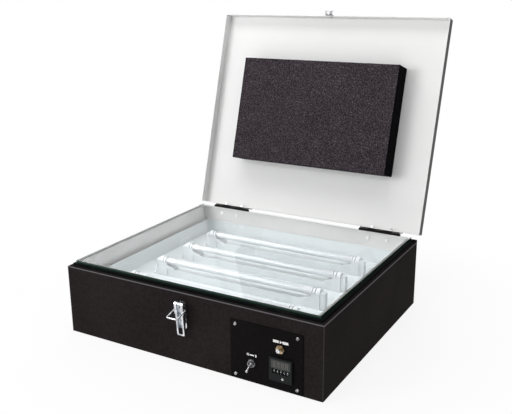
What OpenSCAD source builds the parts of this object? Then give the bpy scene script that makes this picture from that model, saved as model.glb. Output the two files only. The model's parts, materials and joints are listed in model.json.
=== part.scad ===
// Tabletop exposure unit for silk screens: a steel light box with a glass top and a padded, hinged lid

/* [Cabinet] */
// Width of the cabinet and of the lid
body_w = 610; // [570:5:700]
// Depth of the cabinet from front to back
body_d = 508; // [480:4:600]
// Height of the front, left and right walls
body_h = 152.4; // [146:0.2:170]
// Height of the back wall above the ledge
back_rise = 5.6; // [4:0.2:8]
// Thickness of the steel sheet
sheet = 1.5; // [1.2:0.1:2]
// Bend radius at the upright corners
corner_r = 2.4; // [2:0.2:4]
// Width of the flat ledge round the glass
ledge_w = 14; // [13:0.5:18]
// Depth of the turned-down edge inside the ledge
return_h = 12.4; // [9:0.2:14]
// Width of the flange that holds the bottom plate
floor_flange = 16; // [14:0.5:24]
// Number of screws along each long side of the bottom plate
floor_screw_n = 3; // [2:1:5]

/* [Glass and liner] */
// Thickness of the glass plate
glass_t = 6; // [5:0.5:8]
// Height of the glass above the top of the back wall, at its underside
glass_sink = 0.6; // [0.2:0.2:1.2]
// Width of the flange under the glass
seat_w = 8; // [6:0.5:12]
// Thickness of the liner sheet
liner_t = 1.2; // [1:0.1:1.5]
// Depth of the liner below the glass
liner_h = 52; // [46:1:58]
// Width of the rubber edging on the ledge
gasket_w = 4.6; // [3.6:0.2:5.6]

/* [Reflector tray] */
// Thickness of the white tray sheet
tray_t = 1; // [0.8:0.1:1.5]
// Height of the inside floor of the tray above the table
tray_floor = 81; // [76:1:86]
// Height of the tray rim above the table
tray_rim = 118.5; // [114:0.5:124]
// Gap from the tray to the liner at the left and right
tray_side_gap = 10.8; // [8:0.2:14]
// Height of each rail under the tray
rail_h = 20; // [14:1:26]
// Width of each rail under the tray
rail_w = 40; // [30:1:60]

/* [Lamps] */
// Distance between tubes
tube_pitch = 105; // [98:1:110]
// Diameter of a tube
tube_d = 16; // [14:0.5:18]
// Length of a tube over its metal caps
tube_l = 368; // [340:2:420]
// Height of the tube axis above the tray floor
tube_rise = 35; // [30:1:38]
// Visible length of a tube cap
cap_l = 18; // [12:1:24]
// Width of a lampholder across the tube
holder_w = 17; // [14:0.5:20]
// Length of a lampholder along the tube
holder_l = 31; // [26:1:34]

/* [Lid] */
// Height of the lid skirt, with its top plate
lid_h = 24; // [20:1:30]
// Gap between the closed lid and the back wall
lid_gap = 0.6; // [0.4:0.1:1.2]
// Angle of the open lid from closed
lid_open = 106.6; // [95:0.2:115]
// Width of the pressing pad
pad_w = 424; // [380:4:440]
// Length of the pressing pad from back to front
pad_l = 264; // [230:2:280]
// Thickness of the pressing pad
pad_t = 50; // [40:1:60]
// Distance from the back of the lid to the pad
pad_back = 127; // [110:1:140]

/* [Lid hinges] */
// Length of a hinge leaf
leaf_l = 101.6; // [90:0.4:110]
// Distance between the middles of the two hinges
hinge_gap = 416; // [380:2:440]
// Thickness of a hinge leaf
leaf_t = 2.5; // [2:0.1:3]
// Radius of the hinge barrel
barrel_r = 5; // [4.5:0.1:6]
// Radius of the hinge pin
hinge_pin_r = 2.5; // [2:0.1:3]
// Number of knuckles on a hinge
knuckle_n = 5; // [5:2:7]
// Distance between the two screws of a leaf
leaf_screw_gap = 48; // [40:1:60]

/* [Latch] */
// Width of the latch base between the lever's sides
base_w = 14.4; // [13:0.2:15.4]
// Thickness of the latch base sheet
base_t = 1.5; // [1.2:0.1:1.8]
// Width of the lever over its sides
lever_w = 20.5; // [20:0.1:22]
// Width of the lever below its shoulders
lever_body_w = 17.5; // [16:0.5:19]
// Thickness of the lever sheet
lever_t = 1.4; // [1.2:0.1:1.6]
// Distance of the lever pivot from the cabinet front
pivot_out = 11.5; // [11:0.1:12.5]
// Distance of the lever pivot below the ledge
pivot_drop = 20.9; // [20:0.1:22]
// Radius of the lever pivot pin
pivot_r = 2; // [1.8:0.1:2.2]
// Diameter of the bail wire
wire_d = 3; // [2.6:0.1:3.2]
// Length of the bail arms
bail_l = 31.1; // [30:0.1:32]
// Droop of the slack bail below level
bail_droop = 15; // [0:1:20]
// Travel of the bail from slack to hooked
bail_turn = 116; // [110:1:118]
// Width of the hook on the lid
hook_w = 19; // [16:0.5:19]

/* [Control plate] */
// Width of the control plate
panel_w = 155; // [150:1:170]
// Height of the control plate
panel_h = 122; // [118:1:128]
// Thickness of the control plate
panel_t = 2; // [1.5:0.1:3]
// Distance from the right side of the cabinet to the middle of the plate
panel_inset = 118.2; // [100:0.2:125]
// Height of the middle of the plate
panel_z = 63.5; // [62:0.5:70]
// Distance between the plate screws from left to right
panel_screw_w = 133; // [128:1:140]
// Distance between the plate screws from top to bottom
panel_screw_h = 105; // [102:1:108]

/* [Controls] */
// Width and height of the timer front frame
timer_w = 48; // [46:0.5:52]
// Depth of the timer case behind the plate
timer_depth = 78; // [60:1:90]
// Distance from the plate middle to the timer middle, to the right
timer_dx = 32.6; // [28:0.2:38]
// Distance from the plate middle down to the timer middle
timer_dz = 19.3; // [17:0.1:24]
// Distance from the plate middle to the push button, to the right
button_dx = 31.4; // [26:0.2:36]
// Distance from the plate middle up to the push button
button_dz = 23.5; // [20:0.5:28]
// Travel of the push button
button_travel = 2.5; // [1.5:0.1:3]
// Distance from the plate middle to the switch, to the left
switch_dx = 30.2; // [26:0.2:40]
// Distance from the plate middle down to the switch
switch_dz = 21; // [16:0.5:26]
// Length of the switch lever in front of its bush
bat_l = 17; // [12:0.5:20]
// Tilt of the switch lever to each side
bat_tilt = 28; // [20:1:30]

/* [Power inlet] */
// Width of the inlet body
inlet_w = 27; // [26:0.5:29]
// Height of the inlet body
inlet_h = 19.5; // [19:0.5:21]
// Distance between the inlet screws
inlet_screw_gap = 40; // [38:0.5:42]
// Distance from the right side of the cabinet to the middle of the inlet
inlet_inset = 90; // [75:5:155]
// Height of the middle of the inlet
inlet_z = 45; // [32:1:60]

/* [Hidden] */
$fn = 48;

// Colours
satin_black = [0.13, 0.12, 0.12];
panel_black = [0.09, 0.09, 0.09];
bare_steel = [0.74, 0.75, 0.75];
zinc = [0.80, 0.81, 0.83];
pure_white = [0.95, 0.96, 0.96];
moulded_black = [0.07, 0.08, 0.08];
brass_gold = [0.78, 0.60, 0.32];

// Clearances
fit = 0.3;
weld_gap = 0.2;
pin_fit = 0.05;
hole_fit = 0.1;
cut = 1;

// Main faces
half_w = body_w / 2;
half_d = body_d / 2;
front_y = -half_d;
back_y = half_d;
back_inner = back_y - sheet;
lip_z = body_h + back_rise;

// Glass, edging and liner
edging_in = ledge_w - weld_gap;
glass_in = edging_in + fit;
glass_z = lip_z - glass_sink;
liner_out = ledge_w + weld_gap;
liner_half_w = half_w - liner_out;
liner_front = front_y + liner_out;
liner_back = back_inner - weld_gap;

// Tray, rails and lamps
panel_x = half_w - panel_inset;
tray_half_w = liner_half_w - liner_t - tray_side_gap;
tray_front = liner_front + liner_t + fit;
tray_back = liner_back - liner_t - fit;
tray_under = tray_floor - tray_t;
button_room = 24;
lamp_base_w = 15;
lamp_base_h = 18;
lamp_base_t = 1;
lamp_z = tray_floor + tube_rise;
tube_n = 4;
tube_half = tube_l / 2;
cap_wall = 0.5;
cap_bottom = 6;
lamp_pin_r = 1.15;
lamp_pin_l = 7;
lamp_pin_gap = 5;
holder_head_r = tube_d / 2 + 1.3;
holder_head_l = 20;
holder_end_w = holder_w - 3;
holder_end_h = tube_rise + 2;
holder_nose = 20;
holder_foot_l = 9;
holder_foot_t = 2;
holder_screw_r = 1.6;
rail_t = 1.5;
rail_clear = 0.9;
rail_span = (tube_n - 1) * tube_pitch - rail_w - 2 * (holder_screw_r + rail_clear);

// Lid hinges and the lid, as it lies when closed
hinge_y = back_y + leaf_t + barrel_r;
hinge_z = lip_z + lid_gap;
lid_top = hinge_z + lid_h;
lid_over = 0.5;
lid_front = front_y - lid_over;
plate_under = lid_top - sheet;
cabinet_leaf_h = 28;
lid_leaf_h = lid_h - 4;
leaf_offset = barrel_r - leaf_t;
leaf_screw_r = 2;
leaf_head_r = 3.8;
leaf_head_h = 2.2;
leaf_nut_af = 7;
leaf_nut_h = 3.2;
cabinet_leaf_screw_z = hinge_z - leaf_offset - cabinet_leaf_h / 2;
lid_leaf_screw_z = hinge_z + leaf_offset + lid_leaf_h / 2;
knuckle_l = leaf_l / knuckle_n;
knuckle_gap = 0.3;

// Latch, seen from the side: y from the cabinet front, z from the table
pivot = [front_y - pivot_out, body_h - pivot_drop];
bail_pivot = pivot + [1.2, -9.2];
ear_r = 4.5;
ear_t = 1.5;
base_drop = 16.4;
base_l = 58;
base_z1 = body_h - base_drop;
base_z0 = base_z1 - base_l;
base_rivet_in = 10;
base_rivet_gap = 18;
lever_front = 6.5;
lever_top = 6.5;
lever_drop = 65.5;
lever_tip_in = 5.9;
lever_tip_w = 3.2;
lever_slot_w = 10.5;
lever_slot_h = 15;
lever_shoulder = 19;
lever_groove_w = 9;
lever_groove_t = 0.5;
lever_slot_edge = 3;
wire_r = wire_d / 2;
bail_half = lever_w / 2 + wire_r + 0.35;
bail_end_bend = wire_r + 0.2;
bail_loop_bend = 2.5;
bail_end_x = base_w / 2 + 0.6;
stop_bump_r = 1.3;
stop_bump_reach = 5.5;
lock_angle = 180 + bail_droop - bail_turn;
catch_y = bail_pivot[0] + bail_l * cos(lock_angle);
catch_z = bail_pivot[1] + bail_l * sin(lock_angle);
rivet_r = 1.6;
rivet_head_r = 3;
rivet_head_h = 1.5;
base_rivet_z = [base_z0 + base_rivet_in, base_z0 + base_rivet_in + base_rivet_gap];

// Hook on the lid, as it lies when the lid is closed
hook_t = 1.6;
hook_back = lid_front;
hook_face = hook_back - hook_t;
hook_floor = catch_z - wire_r - 0.2;
hook_lip = catch_y - wire_r - 3.5;
hook_lip_h = 6;
hook_bend = 2.4;
hook_top = hinge_z + 18;
hook_rivet_z = [hinge_z + 6, hinge_z + 13];

// Power inlet and vents
inlet_flange_w = inlet_screw_gap + 10;
inlet_flange_h = inlet_h + 3;
inlet_flange_t = 3;
inlet_depth = 19;
inlet_corner = 3;
inlet_screw_r = 1.5;
vent_n = 9;
vent_pitch = 9;
vent_l = 34;
vent_w = 3;
inlet_x = half_w - inlet_inset;
vent_x = -inlet_x;

// Control plate
panel_corner = 2;
panel_screw_r = 2;
panel_head_r = 3.6;
panel_head_h = 2.2;
window_margin = 6.5;
clinch_r = 4;
clinch_h = 3;
bush_r = 6;
wheel_n = 5;

// Screws of the bottom plate
floor_screw_r = 1.95;
floor_head_r = 3.7;
floor_screw_x = half_w - sheet - floor_flange / 2;
floor_screw_y = half_d - sheet - floor_flange / 2;
floor_screw_places = concat(
    [for (i = [0 : floor_screw_n - 1], s = [-1, 1])
        [floor_screw_x * (2 * i / (floor_screw_n - 1) - 1), s * floor_screw_y]],
    [[-floor_screw_x, 0], [floor_screw_x, 0]]
);

// Outline with round corners, centred
module round_outline(w, d, r) {
    square([w - 2 * r, d], center = true);
    square([w, d - 2 * r], center = true);
    for (sx = [-1, 1], sy = [-1, 1])
        translate([sx * (w / 2 - r), sy * (d / 2 - r)])
            circle(r = r);
}

// Slot outline with round ends, its length along X
module slot_outline(l, w) {
    square([l - w, w], center = true);
    for (s = [-1, 1])
        translate([s * (l - w) / 2, 0])
            circle(d = w);
}

// Rod along X, centred
module rod_x(r, l) {
    rotate([0, 90, 0])
        cylinder(h = l, r = r, center = true);
}

// Hexagonal bar along Z, by its width across the flats
module hex_bar(af, h) {
    cylinder(h = h, d = af / cos(30), $fn = 6);
}

// Strip that rounds an outer edge along X: solid lies behind and below the edge
module edge_strip(l, r) {
    difference() {
        translate([-l / 2, -cut, -r])
            cube([l, r + cut, r + cut]);
        translate([0, r, -r])
            rod_x(r, l + 2);
    }
}

// Rounds the top edges of a block at the front, the left and the right
module top_strips(w, y0, y1, z, r) {
    translate([0, y0, z])
        edge_strip(w + 2 * cut, r);
    for (s = [-1, 1])
        translate([s * w / 2, (y0 - cut + y1) / 2, z])
            rotate([0, 0, s * 90])
                edge_strip(y1 - y0 + cut, r);
}

// Places children at the lid, which lies closed in its own frame
module at_lid() {
    translate([0, hinge_y, hinge_z])
        rotate([-lid_open, 0, 0])
            translate([0, -hinge_y, -hinge_z])
                children();
}

// Places children on the cabinet front: X right, Y up and Z out of the front
module at_panel(dx = 0, dz = 0) {
    translate([panel_x + dx, front_y, panel_z + dz])
        rotate([90, 0, 0])
            children();
}

module each_panel_screw() {
    for (sx = [-1, 1], sz = [-1, 1])
        at_panel(sx * panel_screw_w / 2, sz * panel_screw_h / 2)
            children();
}

// Places children at each screw of the cabinet leaves or of the lid leaves, Z pointing back
module each_leaf_screw(z) {
    for (sx = [-1, 1], sl = [-1, 1])
        translate([sx * hinge_gap / 2 + sl * leaf_screw_gap / 2, back_y, z])
            rotate([-90, 0, 0])
                children();
}

// Front, left, right and back walls with the ledge, folded from one sheet
module cabinet_shell() {
    color(satin_black)
    difference() {
        union() {
            difference() {
                linear_extrude(height = body_h)
                    round_outline(body_w, body_d, corner_r);
                translate([0, 0, -cut])
                    linear_extrude(height = body_h - sheet + cut)
                        round_outline(body_w - 2 * sheet, body_d - 2 * sheet, corner_r - sheet);
                translate([-half_w + ledge_w, front_y + ledge_w, body_h - sheet - cut])
                    cube([body_w - 2 * ledge_w, body_d - ledge_w - sheet, sheet + 2 * cut]);
            }
            back_lip();
            ledge_return();
            floor_rim();
        }
        top_strips(body_w, front_y, back_inner, body_h, sheet);
        translate([0, 0, -cut])
            for (p = floor_screw_places)
                translate([p[0], p[1], 0])
                    cylinder(h = sheet + floor_flange, r = floor_screw_r + hole_fit);
        panel_window();
        each_panel_screw()
            translate([0, 0, -sheet - clinch_h - cut])
                cylinder(h = sheet + clinch_h + 2 * cut, r = panel_screw_r + hole_fit);
        for (z = base_rivet_z)
            translate([0, front_y - cut, z])
                rotate([-90, 0, 0])
                    cylinder(h = sheet + 2 * cut, r = rivet_r + pin_fit);
        each_leaf_screw(cabinet_leaf_screw_z)
            translate([0, 0, -sheet - cut])
                cylinder(h = sheet + 2 * cut, r = leaf_screw_r + hole_fit);
        inlet_cutout();
        vent_slots();
    }
}

// Part of the back wall that stands above the ledge
module back_lip() {
    intersection() {
        translate([0, 0, body_h - sheet])
            linear_extrude(height = lip_z - body_h + sheet)
                round_outline(body_w, body_d, corner_r);
        translate([-half_w, back_inner, body_h - 2 * sheet])
            cube([body_w, sheet, lip_z]);
    }
}

// Turned-down inner edge of the ledge at the front, the left and the right
module ledge_return() {
    depth = back_inner - front_y - ledge_w + sheet;
    translate([0, 0, body_h - return_h])
        difference() {
            translate([-half_w + ledge_w - sheet, front_y + ledge_w - sheet, 0])
                cube([body_w - 2 * ledge_w + 2 * sheet, depth, return_h - sheet / 2]);
            translate([-half_w + ledge_w, front_y + ledge_w, -cut])
                cube([body_w - 2 * ledge_w, body_d, return_h + 2 * cut]);
        }
}

// Flange along the foot of the walls, with clinched nuts for the bottom plate
module floor_rim() {
    translate([0, 0, sheet])
        linear_extrude(height = sheet)
            difference() {
                round_outline(body_w - sheet, body_d - sheet, corner_r - sheet / 2);
                square([body_w - 2 * sheet - 2 * floor_flange,
                        body_d - 2 * sheet - 2 * floor_flange], center = true);
            }
    for (p = floor_screw_places)
        translate([p[0], p[1], sheet])
            cylinder(h = sheet + clinch_h, r = clinch_r);
    each_panel_screw()
        translate([0, 0, -sheet - clinch_h])
            cylinder(h = clinch_h + sheet / 2, r = clinch_r);
}

// Opening behind the control plate
module panel_window() {
    at_panel()
        translate([0, 0, -sheet - cut])
            linear_extrude(height = sheet + 2 * cut)
                round_outline(panel_screw_w - 2 * window_margin,
                              panel_screw_h - 2 * window_margin, panel_corner);
}

// Upright slots that let warm air out at the back
module vent_slots() {
    for (i = [0 : vent_n - 1])
        translate([vent_x + (i - (vent_n - 1) / 2) * vent_pitch, back_y + cut, inlet_z])
            rotate([90, 0, 0])
                linear_extrude(height = sheet + 2 * cut)
                    rotate([0, 0, 90])
                        slot_outline(vent_l, vent_w);
}

// Bottom plate, flush with the foot of the walls
module base_pan() {
    color(satin_black)
    difference() {
        linear_extrude(height = sheet)
            difference() {
                round_outline(body_w - 2 * sheet - 2 * fit, body_d - 2 * sheet - 2 * fit, corner_r - sheet);
                for (sx = [-1, 1], i = [0 : vent_n - 1])
                    translate([sx * body_w / 4, (i - (vent_n - 1) / 2) * vent_pitch])
                        slot_outline(2 * vent_l, vent_w);
            }
        for (p = floor_screw_places)
            translate([p[0], p[1], -hole_fit])
                cylinder(h = sheet + 2 * hole_fit, r1 = floor_head_r + 3 * hole_fit, r2 = floor_screw_r + hole_fit);
    }
}

// Countersunk screws that hold the bottom plate
module base_screws() {
    color(zinc)
    for (p = floor_screw_places)
        translate([p[0], p[1], hole_fit])
            difference() {
                union() {
                    cylinder(h = sheet - hole_fit, r1 = floor_head_r, r2 = floor_screw_r);
                    cylinder(h = 3 * sheet + clinch_h, r = floor_screw_r);
                }
                cross_recess(floor_head_r, 0.8);
            }
}

// Crossed recess for a driver, cut into a head whose face lies at the origin
module cross_recess(r, depth) {
    for (a = [0, 90])
        rotate([0, 0, a])
            cube([1.1 * r, 0.28 * r, 2 * depth], center = true);
}

// Bare steel frame that hangs inside the ledge and carries the glass
module glass_liner() {
    color(bare_steel)
    difference() {
        translate([-liner_half_w, liner_front, glass_z - liner_h])
            cube([2 * liner_half_w, liner_back - liner_front, liner_h]);
        translate([-liner_half_w + liner_t, liner_front + liner_t, glass_z - liner_h - cut])
            cube([2 * (liner_half_w - liner_t), liner_back - liner_front - 2 * liner_t,
                  liner_h - liner_t + cut]);
        translate([-liner_half_w + seat_w, liner_front + seat_w, glass_z - liner_h])
            cube([2 * (liner_half_w - seat_w), liner_back - liner_front - 2 * seat_w, liner_h + cut]);
        each_leaf_screw(cabinet_leaf_screw_z)
            translate([0, 0, -2 * seat_w])
                cylinder(h = 2 * seat_w, r = leaf_screw_r + hole_fit);
    }
}

// Rubber edging on the ledge round the glass
module glass_gasket() {
    outer = edging_in - gasket_w;
    color([0.05, 0.05, 0.05])
    translate([0, 0, body_h])
        difference() {
            translate([-half_w + outer, front_y + outer, 0])
                cube([body_w - 2 * outer, back_inner - fit - front_y - outer, back_rise]);
            translate([-half_w + edging_in, front_y + edging_in, -cut])
                cube([body_w - 2 * edging_in, body_d, back_rise + 2 * cut]);
        }
}

// Glass that the screen lies on
module glass_plate() {
    color([0.55, 0.72, 0.66, 0.35])
    translate([-half_w + glass_in, front_y + glass_in, glass_z])
        cube([body_w - 2 * glass_in, back_inner - 2 * fit - front_y - glass_in, glass_t]);
}

// White pan under the lamps that throws their light up
module reflector_tray() {
    depth = tray_back - tray_front;
    color(pure_white)
    difference() {
        translate([-tray_half_w, tray_front, tray_under])
            cube([2 * tray_half_w, depth, tray_rim - tray_under]);
        translate([-tray_half_w + tray_t, tray_front + tray_t, tray_floor])
            cube([2 * (tray_half_w - tray_t), depth - 2 * tray_t, tray_rim]);
        each_holder_screw()
            translate([0, 0, -2 * tray_t])
                cylinder(h = 3 * tray_t, r = holder_screw_r + hole_fit);
        translate([panel_x + button_dx - button_room / 2, tray_front - cut, tray_under - cut])
            cube([button_room, button_room, panel_z + button_dz + button_room / 2 - tray_under]);
    }
}

// Two channels across the cabinet that carry the tray
module tray_rails() {
    color(bare_steel)
    for (s = [-1, 1])
        translate([0, s * rail_span / 2, tray_under - rail_h])
            difference() {
                translate([-half_w + sheet, -rail_w / 2, 0])
                    cube([body_w - 2 * sheet, rail_w, rail_h]);
                translate([-half_w + sheet + rail_t, -rail_w / 2 + rail_t, -cut])
                    cube([body_w - 2 * sheet - 2 * rail_t, rail_w - 2 * rail_t, rail_h - rail_t + cut]);
            }
}

// Distance of tube i from the middle of the tray, counted from the front
function tube_y(i) = (i - (tube_n - 1) / 2) * tube_pitch;

// Places children at the end of tube i: X points outward from the tube, Z up from the tray floor
module at_tube_end(i, side) {
    translate([0, tube_y(i), tray_floor])
        rotate([0, 0, side < 0 ? 180 : 0])
            translate([tube_half, 0, 0])
                children();
}

module each_holder_screw() {
    for (i = [0 : tube_n - 1], side = [-1, 1])
        at_tube_end(i, side)
            translate([holder_l + holder_foot_l / 2, 0, 0])
                children();
}

// Channels that the tubes stand over
module lamp_bases() {
    color(pure_white)
    for (i = [0 : tube_n - 1])
        translate([0, tube_y(i), tray_floor])
            difference() {
                translate([-tube_half, -lamp_base_w / 2, 0])
                    cube([tube_l, lamp_base_w, lamp_base_h]);
                translate([-tube_half - cut, -lamp_base_w / 2 + lamp_base_t, -cut])
                    cube([tube_l + 2 * cut, lamp_base_w - 2 * lamp_base_t, lamp_base_h - lamp_base_t + cut]);
            }
}

// Light tube without its caps
module lamp_tube(i) {
    half = tube_half - cap_bottom - fit;
    color([0.97, 0.98, 0.98])
    translate([0, tube_y(i), lamp_z])
        difference() {
            rod_x(tube_d / 2 - cap_wall - pin_fit, 2 * half);
            rod_x(tube_d / 2 - cap_wall - 1.2, 2 * half + 2 * cut);
        }
}

// Cap with two contact pins at one end of a tube
module lamp_cap(i, side) {
    at_tube_end(i, side)
        translate([0, 0, tube_rise]) {
            difference() {
                translate([-cap_l / 2, 0, 0])
                    rod_x(tube_d / 2, cap_l);
                translate([-cap_l / 2 - cap_bottom, 0, 0])
                    rod_x(tube_d / 2 - cap_wall, cap_l);
            }
            for (s = [-1, 1])
                translate([lamp_pin_l / 2 - cut / 2, 0, s * lamp_pin_gap / 2])
                    rod_x(lamp_pin_r, lamp_pin_l + cut);
        }
}

module lamp_caps_left() {
    color(bare_steel)
    for (i = [0 : tube_n - 1])
        lamp_cap(i, -1);
}

module lamp_caps_right() {
    color(pure_white)
    for (i = [0 : tube_n - 1])
        lamp_cap(i, 1);
}

// Moulded socket at one end of a tube
module lampholder(i, side) {
    slot_w = 2 * lamp_pin_r + 2 * fit;
    slot_z = tube_rise - lamp_pin_gap / 2 - lamp_pin_r - fit;
    at_tube_end(i, side)
        difference() {
            union() {
                holder_body();
                holder_end();
                translate([fit + (holder_head_l - fit) / 2, 0, tube_rise])
                    rod_x(holder_head_r, holder_head_l - fit);
            }
            translate([fit - cut, -slot_w / 2, slot_z])
                cube([lamp_pin_l + fit + cut, slot_w, holder_head_r + tube_rise]);
            translate([holder_l - 3, 0, holder_end_h - 4.5])
                rod_x(1.8, 8);
            translate([holder_l + holder_foot_l / 2, 0, -cut])
                cylinder(h = holder_foot_t + 2 * cut, r = holder_screw_r + hole_fit);
        }
}

// Body with the sloping nose that grips the channel, as a side profile
module holder_body() {
    nose_top = tube_rise - tube_d / 2 - fit;
    translate([0, holder_w / 2, 0])
        rotate([90, 0, 0])
            linear_extrude(height = holder_w)
                polygon([
                    [fit, 0], [fit, lamp_base_h + fit], [-holder_nose, lamp_base_h + fit],
                    [-holder_nose, lamp_base_h + 2.5], [-3, nose_top], [fit, nose_top],
                    [fit, tube_rise], [holder_head_l, tube_rise], [holder_head_l, 0]
                ]);
}

// Lower outer part with the wire entry and the foot
module holder_end() {
    x0 = holder_head_l - cut;
    translate([x0, -holder_end_w / 2, 0])
        cube([holder_l - x0, holder_end_w, holder_end_h]);
    translate([x0, -holder_end_w / 2, 0])
        cube([holder_l + holder_foot_l - x0, holder_end_w, holder_foot_t]);
}

module lampholders(i) {
    color(pure_white) {
        lampholder(i, -1);
        lampholder(i, 1);
    }
}

// Screws that hold the sockets to the tray
module lampholder_screws() {
    color([0.25, 0.25, 0.27])
    each_holder_screw()
        difference() {
            union() {
                translate([0, 0, holder_foot_t])
                    cylinder(h = 1.6, r = 2.8);
                translate([0, 0, -2.5])
                    cylinder(h = 2.5 + holder_foot_t + cut, r = holder_screw_r);
            }
            translate([0, 0, holder_foot_t + 1.6])
                cross_recess(2.8, 0.7);
        }
}

// Power unit of the lamps, on the bottom plate
driver_l = 190;
driver_w = 62;
driver_h = 34;
driver_x = -60;
driver_ear = 12;
module lamp_driver() {
    color([0.86, 0.87, 0.88])
    translate([driver_x, 0, sheet])
        difference() {
            union() {
                linear_extrude(height = driver_h)
                    round_outline(driver_l, driver_w, 3);
                linear_extrude(height = 2)
                    round_outline(driver_l + 2 * driver_ear, driver_w - 16, 3);
                for (s = [-1, 1])
                    translate([s * driver_l / 2, 0, driver_h / 2])
                        rod_x(6, 8);
            }
            for (s = [-1, 1])
                translate([s * (driver_l / 2 + driver_ear / 2), 0, -cut])
                    cylinder(h = 2 + 2 * cut, r = 2.2);
            for (s = [-1, 1])
                translate([s * driver_l / 2, 0, driver_h / 2])
                    rod_x(3.5, 20);
            for (k = [-3 : 3])
                translate([k * driver_l / 8, 0, driver_h])
                    cube([3, driver_w + 2, 3], center = true);
        }
}

// Screw terminals where the wires meet
terminal_n = 6;
terminal_pitch = 10;
terminal_place = [120, 90];
module terminal_block() {
    l = terminal_n * terminal_pitch;
    color([0.90, 0.90, 0.86])
    translate([terminal_place[0], terminal_place[1], sheet])
        difference() {
            union() {
                translate([-l / 2, -10, 0])
                    cube([l, 20, 8]);
                translate([-l / 2, -5, 0])
                    cube([l, 10, 15]);
            }
            for (k = [0 : terminal_n - 1])
                translate([-l / 2 + (k + 0.5) * terminal_pitch, 0, 0]) {
                    translate([0, 0, 9])
                        cylinder(h = 8, r = 2.6);
                    for (s = [-1, 1])
                        translate([0, s * 7.5, 4.5])
                            rotate([90, 0, 0])
                                cylinder(h = 8, r = 2.2, center = true);
                }
        }
}

// Lid pan, folded down all round
module lid_shell() {
    color(satin_black)
    at_lid()
        difference() {
            translate([0, -lid_over / 2, hinge_z])
                linear_extrude(height = lid_h)
                    round_outline(body_w, body_d + lid_over, corner_r);
            translate([0, -lid_over / 2, hinge_z - cut])
                linear_extrude(height = lid_h - sheet + cut)
                    round_outline(body_w - 2 * sheet, body_d + lid_over - 2 * sheet, corner_r - sheet);
            top_strips(body_w, lid_front, back_y + cut, lid_top, sheet);
            each_leaf_screw(lid_leaf_screw_z)
                translate([0, 0, -sheet - cut])
                    cylinder(h = sheet + 2 * cut, r = leaf_screw_r + hole_fit);
            for (z = hook_rivet_z)
                translate([0, lid_front - cut, z])
                    rotate([-90, 0, 0])
                        cylinder(h = sheet + 2 * cut, r = rivet_r + pin_fit);
        }
}

// Foam pad that presses the screen flat on the glass
module lid_foam() {
    color([0.27, 0.25, 0.27])
    at_lid()
        translate([-pad_w / 2, back_y - pad_back - pad_l, plate_under - pad_t])
            cube([pad_w, pad_l, pad_t]);
}

// Side outline of the hook, with Y outward from its back and Z down to its floor
module hook_profile() {
    depth = hook_back - hook_lip + hook_t;
    floor_z = hook_floor - hook_t;
    difference() {
        union() {
            translate([-hook_t, floor_z + hook_bend])
                square([hook_t, hook_top - floor_z - hook_bend]);
            hook_bowl(depth, hook_bend, floor_z, hook_lip_h);
        }
        translate([-depth + hook_t, floor_z + hook_t])
            hook_inside(depth - 2 * hook_t, hook_bend - hook_t + 0.6, hook_lip_h);
        translate([-depth - cut, floor_z + hook_lip_h])
            square([depth + cut - hook_t, hook_top]);
    }
}

// Rounded trough outline with its right edge on the axis
module hook_bowl(w, r, z, h) {
    translate([-w, z + r])
        square([w, h - r]);
    translate([-w + r, z])
        square([w - 2 * r, h]);
    for (x = [-w + r, -r])
        translate([x, z + r])
            circle(r = r);
}

module hook_inside(w, r, h) {
    translate([0, r])
        square([w, h]);
    translate([r, 0])
        square([w - 2 * r, h]);
    for (x = [r, w - r])
        translate([x, r])
            circle(r = r);
}

// Hook on the lid that the bail pulls down
module lid_strike() {
    color(zinc)
    at_lid()
        difference() {
            translate([-hook_w / 2, hook_back, 0])
                rotate([90, 0, 90])
                    linear_extrude(height = hook_w)
                        hook_profile();
            for (z = hook_rivet_z)
                translate([0, hook_face - cut, z])
                    rotate([-90, 0, 0])
                        cylinder(h = hook_t + 2 * cut, r = rivet_r + pin_fit);
        }
}

// Rivet along Y: head outside at y0, tail inside behind the stack of sheets
module rivet_y(y0, stack) {
    translate([0, y0, 0])
        rotate([-90, 0, 0]) {
            translate([0, 0, -rivet_head_h])
                rivet_head();
            cylinder(h = stack + fit, r = rivet_r);
            translate([0, 0, stack])
                cylinder(h = 1, r = rivet_head_r - 0.4);
        }
}

// Low round head, its flat side up
module rivet_head() {
    rise = rivet_head_h;
    ball = (rivet_head_r * rivet_head_r + rise * rise) / (2 * rise);
    intersection() {
        translate([0, 0, ball])
            sphere(r = ball);
        cylinder(h = rise, r = rivet_head_r);
    }
}

module strike_rivets() {
    color(zinc)
    at_lid()
        for (z = hook_rivet_z)
            translate([0, 0, z])
                rivet_y(hook_face, hook_t + sheet);
}

// Flat leaf, its tab and its knuckles: side is -1 for the cabinet and 1 for the lid
module hinge_leaf(side, leaf_h, screw_z, first) {
    z_leaf = side < 0 ? hinge_z - leaf_offset - leaf_h : hinge_z + leaf_offset;
    z_tab = side < 0 ? hinge_z - barrel_r : hinge_z + leaf_offset;
    for (sx = [-1, 1])
        translate([sx * hinge_gap / 2, 0, 0])
            difference() {
                union() {
                    translate([-leaf_l / 2, back_y, z_leaf])
                        cube([leaf_l, leaf_t, leaf_h]);
                    for (k = [first : 2 : knuckle_n - 1])
                        translate([(k - (knuckle_n - 1) / 2) * knuckle_l, 0, 0]) {
                            translate([-(knuckle_l - knuckle_gap) / 2, back_y, z_tab])
                                cube([knuckle_l - knuckle_gap, leaf_t + barrel_r, leaf_t]);
                            translate([0, hinge_y, hinge_z])
                                rod_x(barrel_r, knuckle_l - knuckle_gap);
                        }
                }
                translate([0, hinge_y, hinge_z])
                    rod_x(hinge_pin_r + pin_fit, leaf_l + 2 * cut);
                for (sl = [-1, 1])
                    translate([sl * leaf_screw_gap / 2, back_y - cut, screw_z])
                        rotate([-90, 0, 0])
                            cylinder(h = leaf_t + 2 * cut, r = leaf_screw_r + hole_fit);
            }
}

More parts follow.
